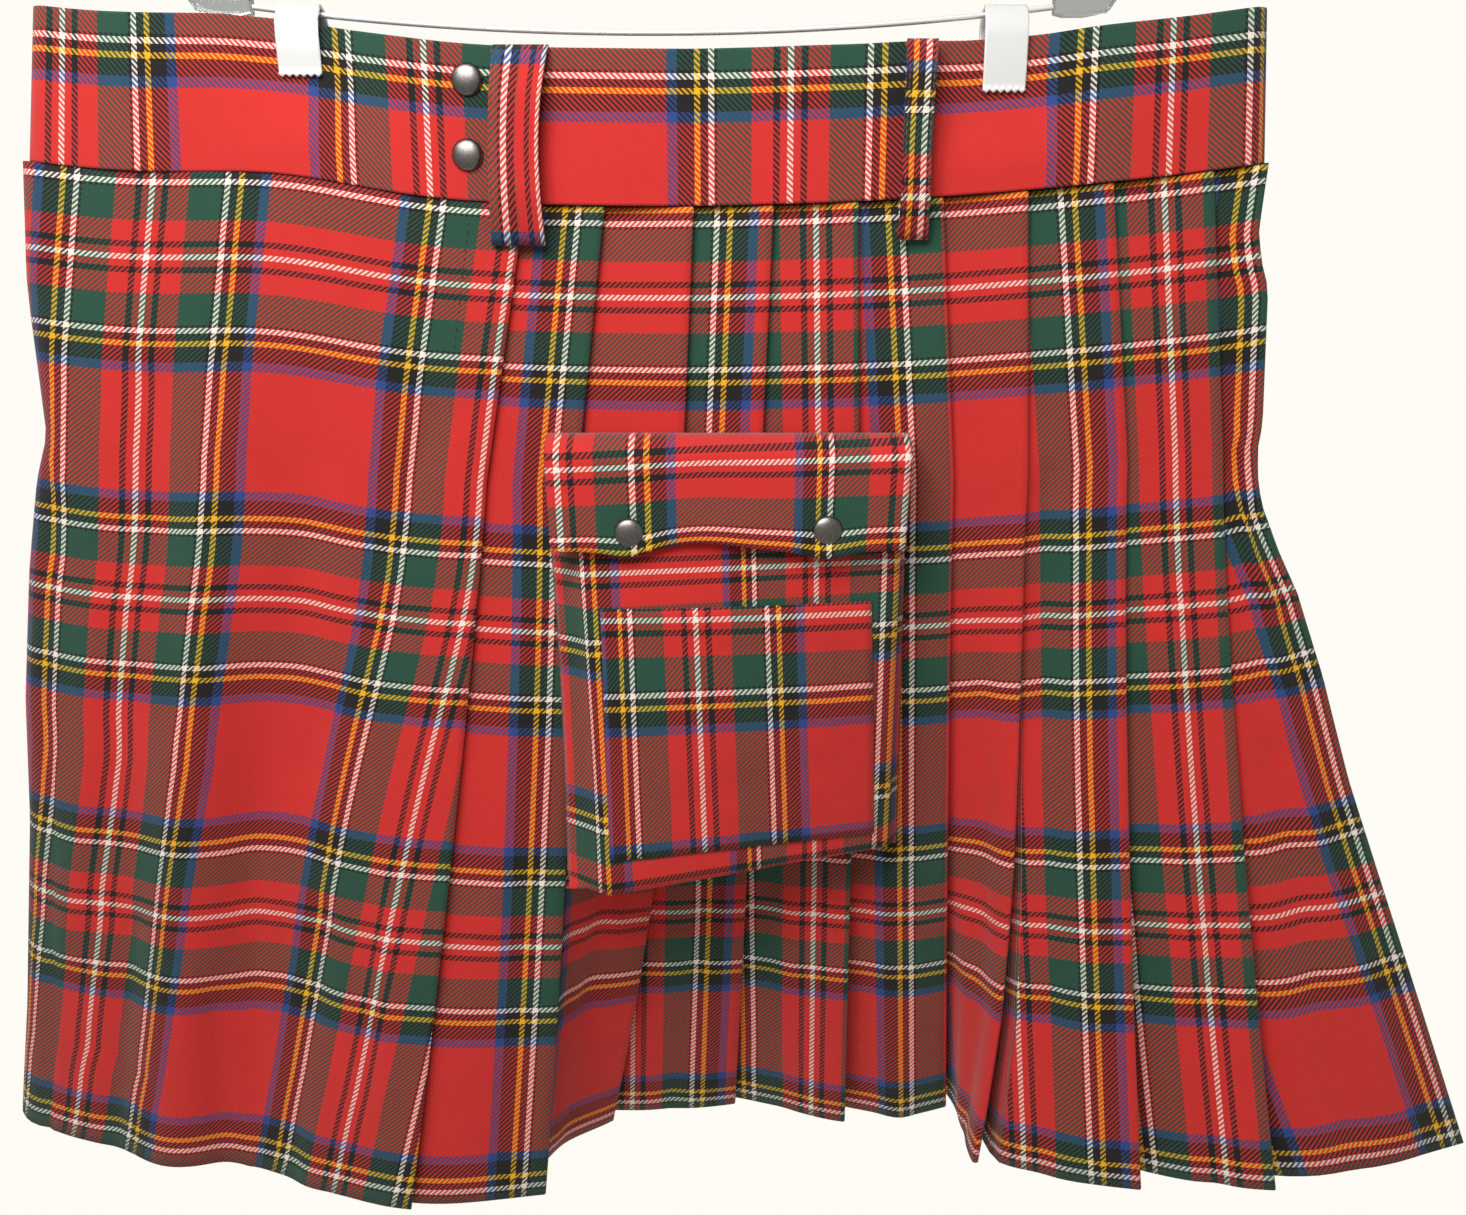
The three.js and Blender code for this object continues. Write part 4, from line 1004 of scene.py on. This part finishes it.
def pocket_ring(down):
    """The pocket in plan from its front's left edge right round, with its threads across."""
    flare_right = FLARE_RIGHT[0] + FLARE_RIGHT[1] * down
    flare_left = FLARE_LEFT[0] + FLARE_LEFT[1] * down * down
    first, last = read_off(POCKET_ACROSS, 0), read_off(POCKET_ACROSS, 1)
    ring = []
    for i in range(FRONT_COLUMNS + 1):
        across = i / FRONT_COLUMNS
        ring.append((pocket_point(across, down),
                     read_off(POCKET_ACROSS, across) + POCKET_SKEW * down * (1 - across)))
    for i in range(1, GUSSET_COLUMNS + 1):
        spot, behind = gusset_point(1, flare_right, DENT_RIGHT, i / GUSSET_COLUMNS, down)
        ring.append((spot, last + behind))
    for i in range(1, BACK_COLUMNS):
        across = 1 - i / BACK_COLUMNS
        flat = Vector((lerp(-flare_left, flare_right, across), pocket_depth(across, down), 0))
        ring.append((pocket_point(0, down).lerp(pocket_point(1, down), across) + flat,
                     last + lerp(*POCKET_BACK_THREADS, i / BACK_COLUMNS)))
    for i in range(GUSSET_COLUMNS):
        share = 1 - i / GUSSET_COLUMNS
        spot, behind = gusset_point(0, -flare_left, DENT_LEFT, share, down)
        ring.append((spot, first + POCKET_SKEW * down - behind))
    return [spot for spot, thread in ring], [thread for spot, thread in ring]


def weft_sag(thread, down):
    """How many threads the weave has dropped on the pocket's front: first at the left side."""
    across = share_of(thread, POCKET_ACROSS[0][1], POCKET_ACROSS[-1][1])
    early, late = share_of(down, 0, SAG_TURN), share_of(down, SAG_TURN, 1)
    return (1 - across) * (SAG_LEFT[0] * early + SAG_LEFT[1] * late) + SAG_RIGHT * across * late


pocket_height = POCKET_TOP["z"] - POCKET_LEFT["z"]
pocket_grid, pocket_threads = [], []
for i in range(POCKET_ROWS + 1):
    line, threads = pocket_ring(i / POCKET_ROWS)
    pocket_grid.append(line)
    level = POCKET_DOWN_START + i / POCKET_ROWS * pocket_height / POCKET_THREAD
    pocket_threads.append([(u, level - weft_sag(u, i / POCKET_ROWS)) for u in threads])
for share in FOOT_SHUT:
    shut = []
    for p in pocket_grid[POCKET_ROWS]:
        across = share_of(p.x, POCKET_LEFT["x"], POCKET_RIGHT["x"])
        middle = pocket_point(across, 1).y + pocket_depth(across, 1) / 2
        shut.append(Vector((p.x, lerp(p.y, middle, share), p.z - FOOT_DROP)))
    pocket_grid.append(shut)
    pocket_threads.append([(u, v - share * FOOT_THREADS)
                           for u, v in pocket_threads[POCKET_ROWS]])
pocket_body = sew("cargo_pocket_body", pocket_grid, pocket_threads, POCKET_THICK, closed=True)
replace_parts(pocket_body, "pocket_body")

PATCH_LEFT, PATCH_RIGHT = (0.049, 0.013), (0.915, 0.95)
PATCH_TOP, PATCH_FOOT = 0.325, (0.92, 0.953)
PATCH_ROWS, PATCH_COLUMNS = 26, 30
PATCH_OUT, PATCH_THICK, PATCH_GAPE, GAPE_DOWN = 1.1, 0.9, 1.3, 0.14
PATCH_ACROSS = [(0, 66), (0.07, 89.5), (0.105, 102), (0.348, 175), (0.614, 248), (0.652, 260.5),
                (0.735, 284), (1, 365)]
PATCH_DOWN = [(0, 163), (0.045, 175), (0.348, 248), (0.51, 289), (0.9375, 411), (1, 428)]


def patch_point(across, down):
    u = lerp(lerp(*PATCH_LEFT, down), lerp(*PATCH_RIGHT, down), across)
    v = lerp(PATCH_TOP, lerp(*PATCH_FOOT, across), down)
    gape = PATCH_GAPE * math.sin(math.pi * across) ** 2 * hill(down, 0, GAPE_DOWN)
    return pocket_point(u, v, PATCH_OUT + gape)


def grid_of(place, rows, columns):
    """What a function gives at the shares across and down of each point in a grid."""
    return [[place(c / columns, r / rows) for c in range(columns + 1)] for r in range(rows + 1)]


patch_grid = grid_of(patch_point, PATCH_ROWS, PATCH_COLUMNS)
patch_threads = grid_of(lambda u, v: (read_off(PATCH_ACROSS, u), read_off(PATCH_DOWN, v)),
                        PATCH_ROWS, PATCH_COLUMNS)
patch = sew("patch_pocket_cloth", patch_grid, patch_threads, PATCH_THICK)
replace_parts(patch, "patch_pocket")

# Pocket flap. Two layers of tartan turned and topstitched, sewn along its top edge above the
# pocket's mouth and bent over it. It is pulled in by its two snaps, and its lower edge curls
# out under them.
FLAP = {"left": -48, "right": 111, "top": -300, "drop": 49, "root": -11.2, "front": -26.4}
FLAP_BEND_ENDS, FLAP_BEND_POWER, FLAP_TAPER = 0.2, 0.8, 0.03
FLAP_CURL, FLAP_LEAN, FLAP_THICK, FLAP_SLOPE = 1.2, 1.8, 1.9, 13
FLAP_LIFT = {"most": 3.5, "at": 0.42, "width": 0.16}
FLAP_ROWS, FLAP_COLUMNS = 26, 48
FLAP_ACROSS = [(0, 165), (0.033, 175), (0.237, 248), (0.279, 260.5), (0.345, 284), (0.694, 416),
               (0.749, 439.5), (0.78, 452), (0.989, 525), (1, 529)]
FLAP_DOWN = [(0, 150), (0.12, 162), (0.235, 175), (0.345, 188), (0.56, 211), (0.86, 248),
             (0.95, 260.5), (1, 268)]
FLAP_SNAPS = [(0.222, 0.82), (0.778, 0.79)]
# What a snap does to the flap round it: how much it pulls in, curls the edge out and holds it
# down, each with its width across and with its width or its start down.
SNAP_PULL, SNAP_CURL, SNAP_HOLD = (1.6, 0.05, 0.13), (1.7, 0.07, 0.8), (3.0, 0.08, 0.6)


def flap_point(across, down):
    reach = math.sin(share_of(down, 0, FLAP_BEND_ENDS) * math.pi / 2) ** FLAP_BEND_POWER
    centre = (FLAP["left"] + FLAP["right"]) / 2
    x = centre + (lerp(FLAP["left"], FLAP["right"], across) - centre) * (1 - FLAP_TAPER * down)
    curl = FLAP_CURL * down ** 3 * (1 + math.cos(3 * math.pi * across)) + FLAP_LEAN * down
    lift = FLAP_LIFT["most"] * hill(across, FLAP_LIFT["at"], FLAP_LIFT["width"]) * down
    pull = 0
    for at, level in FLAP_SNAPS:
        most, wide, high = SNAP_PULL
        pull += most * hill(across, at, wide) * hill(down, level, high)
        most, wide, start = SNAP_CURL
        curl += most * hill(across, at, wide) * share_of(down, start, 1)
        most, wide, start = SNAP_HOLD
        lift -= most * hill(across, at, wide) * share_of(down, start, 1)
    return Vector((x, lerp(FLAP["root"], FLAP["front"], reach) - curl + pull,
                   FLAP["top"] - FLAP["drop"] * down + lift))


def flap_threads(across, down):
    return read_off(FLAP_ACROSS, across), read_off(FLAP_DOWN, down) + FLAP_SLOPE * (across - 0.5)


flap_grid = grid_of(flap_point, FLAP_ROWS, FLAP_COLUMNS)
flap = sew("pocket_flap_cloth", flap_grid, grid_of(flap_threads, FLAP_ROWS, FLAP_COLUMNS),
           FLAP_THICK)
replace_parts(flap, "pocket_flap")
for number, (across, down) in enumerate(FLAP_SNAPS, 1):
    centre = flap_point(across, down) + Vector((0, -FLAP_THICK / 2 + 0.1, 0))
    snap = turned(f"pocket_snap_cap_{number}", centre, dome, SNAP_SIDES, 0.05)
    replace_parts(snap, f"pocket_snap_{number}")


def topstitch(name, grid, rows, columns, down_rows, sides, thick):
    """Stitches across a pocket's piece at some rows, and down it beside both its edges."""
    lift = -thick / 2 - STITCH_LIFT
    thread_piece(name, [run_across(grid, row, columns, lift, -1) for row in rows]
                 + [run_down(grid, down_rows, column, share, lift, -1)
                    for column, share in sides])


topstitch("pocket_flap_stitching", flap_grid, (2, 6, FLAP_ROWS - 2), range(1, FLAP_COLUMNS),
          range(6, FLAP_ROWS - 1), ((0, 0.6), (FLAP_COLUMNS - 1, 0.4)), FLAP_THICK)
topstitch("patch_pocket_stitching", patch_grid, (4, PATCH_ROWS - 1), range(1, PATCH_COLUMNS),
          range(1, PATCH_ROWS), ((0, 0.5), (PATCH_COLUMNS - 1, 0.5)), PATCH_THICK)
topstitch("cargo_pocket_stitching", pocket_grid, (POCKET_ROWS - 3,), range(1, FRONT_COLUMNS),
          range(2, POCKET_ROWS), ((0, 0.7), (FRONT_COLUMNS - 1, 0.3)), POCKET_THICK)

# Hanger. A clear moulded plastic hanger with a chromed wire hook; a wire bar hangs below its
# arms and carries two sheet-steel spring clips with toothed jaws that hold the waistband.
HOOK_INNER_RADIUS, HOOK_WIRE, NECK_TOP = 22, 3.6, -62
HOOK_STEM = [(0, -58), (0.4, -55.4), (1.8, -52.4), (5, -48.6), (9, -45)]
HOOK_FROM, HOOK_TO = -55, 205
BAR_WIRE, BAR_MIDDLE, BAR_RISE, BAR_END_X, BAR_COLUMNS = 2.4, -133, 10, 167.5, 40
CLIP_WIDTH, CLIP_SHEET = 18, 1.1
CLIP_TEETH, TOOTH_DEPTH, SHOULDER = 6, 1.3, 1.2

steel = new_material("Bright steel", {"Base Color": dye((250, 250, 250)), "Metallic": 0.55,
                                      "Roughness": 0.22})[0]
clear_plastic = new_material("Clear plastic", {
    "Base Color": dye((240, 246, 246)), "Transmission Weight": 1.0, "Roughness": 0.12,
    "IOR": 1.46})[0]
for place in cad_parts["hanger_arms"].material_slots:
    place.material = clear_plastic


def bent_wire(name, node, points, diameter):
    """A round wire bent through its points."""
    curve = bpy.data.curves.new(name, "CURVE")
    curve.dimensions = "3D"
    curve.bevel_depth = diameter / 2 * MM
    curve.bevel_resolution = 5
    curve.use_fill_caps = True
    spline = curve.splines.new("POLY")
    spline.points.add(len(points) - 1)
    for spot, p in zip(spline.points, points):
        spot.co = (*(p * MM), 1)
    spline.use_smooth = True
    curve.materials.append(steel)
    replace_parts(new_piece(name, curve), node)


hook_radius = HOOK_INNER_RADIUS + HOOK_WIRE / 2
hook_points = [Vector((x, 0, z)) for x, z in [(0, NECK_TOP + SEAM_GAP)] + HOOK_STEM]
for degrees in range(HOOK_FROM, HOOK_TO + 1, 5):
    angle = math.radians(degrees)
    hook_points.append(Vector((hook_radius * math.cos(angle), 0,
                               hook_radius * math.sin(angle) - HOOK_INNER_RADIUS)))
bent_wire("hook_wire", "hanger_hook", hook_points, HOOK_WIRE)


def bar_height(x):
    return BAR_MIDDLE + BAR_RISE * (x / BAR_END_X) ** 2


bar_across = [lerp(-BAR_END_X, BAR_END_X, i / BAR_COLUMNS) for i in range(BAR_COLUMNS + 1)]
bent_wire("bar_wire", "hanger_bar", [Vector((x, 0, bar_height(x))) for x in bar_across],
          BAR_WIRE)


def spring_clip(name, node, x):
    """One clip: a sheet bent over the bar, with two jaws whose edges are cut to teeth."""
    inside = band_half_depth(x, 0) + BAND_THICK / 2 + SEAM_GAP + CLIP_SHEET / 2
    crown = bar_height(abs(x) + CLIP_WIDTH / 2) + BAR_WIRE / 2 + SEAM_GAP + CLIP_SHEET / 2
    mouth = band_top(x) - CLIP_GRIP
    jaw = [(1.9, crown - 0.5), (3.4, crown - 2), (inside + 1.3, crown - 6.5),
           (inside + 1.5, crown - 13), (inside + 0.7, mouth + 8), (inside + 0.1, mouth + 4),
           (inside, mouth + 2), (inside + 1.0, mouth + 0.2)]
    profile = [(-y, z) for y, z in reversed(jaw)] + [(0, crown)] + jaw
    count = 4 * CLIP_TEETH
    points, faces = [], []
    for r, (y, z) in enumerate(profile):
        width = CLIP_WIDTH - (SHOULDER if abs(r - len(jaw)) < 2 else 0)
        for c in range(count + 1):
            cut = TOOTH_DEPTH * abs(2 * ((c / 4) % 1) - 1) if r in (0, len(profile) - 1) else 0
            points.append(Vector((x + (c / count - 0.5) * width, y, z + cut)) * MM)
    for r in range(len(profile) - 1):
        for c in range(count):
            a = r * (count + 1) + c
            faces.append((a, a + 1, a + count + 2, a + count + 1))
    mesh = new_mesh(name, points, faces, steel)
    mesh.shade_smooth()
    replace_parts(new_piece(name, mesh, CLIP_SHEET), node)


spring_clip("spring_clip_left", "clip_left", -CLIP_X)
spring_clip("spring_clip_right", "clip_right", CLIP_X)

# Floor, light and camera. A pale floor well below the kilt and a pale surround; a soft lamp
# above the kilt and close in front of it, a weak sun from the upper left, and the camera at the
# photo's angle.
FLOOR_Z = -1.9
FLOOR_LEFT, FLOOR_RIGHT, FLOOR_NEAR, FLOOR_FAR = -1.1, 1.1, -0.9, 1.3
BACKDROP = dye((252, 250, 243))
BACKDROP_SEEN, ROOM_LIGHT, FLOOR_GLOW = 1.02, 0.45, 0.4
floor_paint = new_material("Pale floor", {
    "Base Color": dye((246, 244, 236)), "Roughness": 0.9, "Emission Color": BACKDROP,
    "Emission Strength": FLOOR_GLOW})[0]
floor_corners = [(FLOOR_LEFT, FLOOR_NEAR, FLOOR_Z), (FLOOR_RIGHT, FLOOR_NEAR, FLOOR_Z),
                 (FLOOR_RIGHT, FLOOR_FAR, FLOOR_Z), (FLOOR_LEFT, FLOOR_FAR, FLOOR_Z)]
floor_mesh = new_mesh("floor", floor_corners, [(0, 1, 2, 3)], floor_paint)
floor = bpy.data.objects.new("floor", floor_mesh)
bpy.context.scene.collection.objects.link(floor)

world = bpy.data.worlds.new("Pale room")
world.use_nodes = True
room = world.node_tree
backdrop = room.nodes["Background"]
backdrop.inputs["Color"].default_value = BACKDROP
seen = room.nodes.new("ShaderNodeLightPath").outputs["Is Camera Ray"]
room.links.new(calc(room, "ADD", calc(room, "MULTIPLY", seen, BACKDROP_SEEN - ROOM_LIGHT),
                    ROOM_LIGHT), backdrop.inputs["Strength"])
bpy.context.scene.world = world


def lamp(name, kind, place, target, power, size):
    """A soft light at a place, turned toward its target."""
    data = bpy.data.lights.new(name, kind)
    data.energy = power
    if kind == "SUN":
        data.angle = size
    else:
        data.size = size
    light = bpy.data.objects.new(name, data)
    light.location = place
    light.rotation_euler = (Vector(target) - Vector(place)).to_track_quat("-Z", "Y").to_euler()
    bpy.context.scene.collection.objects.link(light)


lamp("light_broad", "SUN", place=(-2.2, -2.0, 2.2), target=(0, 0, -0.3), power=0.45,
     size=math.radians(20))
lamp("light_above", "AREA", place=(-0.2, -0.6, 0.3), target=(-0.05, 0, -0.2), power=9.2, size=0.5)

CAMERA_PLACE = (0.0336, -0.551, -0.263)
CAMERA_DOWN = 12
PHOTO_WIDTH, FOCAL_PIXELS, SENSOR = 1466, 1217, 36
camera = bpy.data.cameras.new("camera")
camera.sensor_width = SENSOR
camera.lens = SENSOR * FOCAL_PIXELS / PHOTO_WIDTH
camera.clip_start = 0.01
viewer = bpy.data.objects.new("camera", camera)
viewer.location = CAMERA_PLACE
viewer.rotation_euler = (math.radians(90 - CAMERA_DOWN), 0, 0)
bpy.context.scene.collection.objects.link(viewer)
bpy.context.scene.camera = viewer
bpy.context.scene.view_settings.view_transform = "Standard"
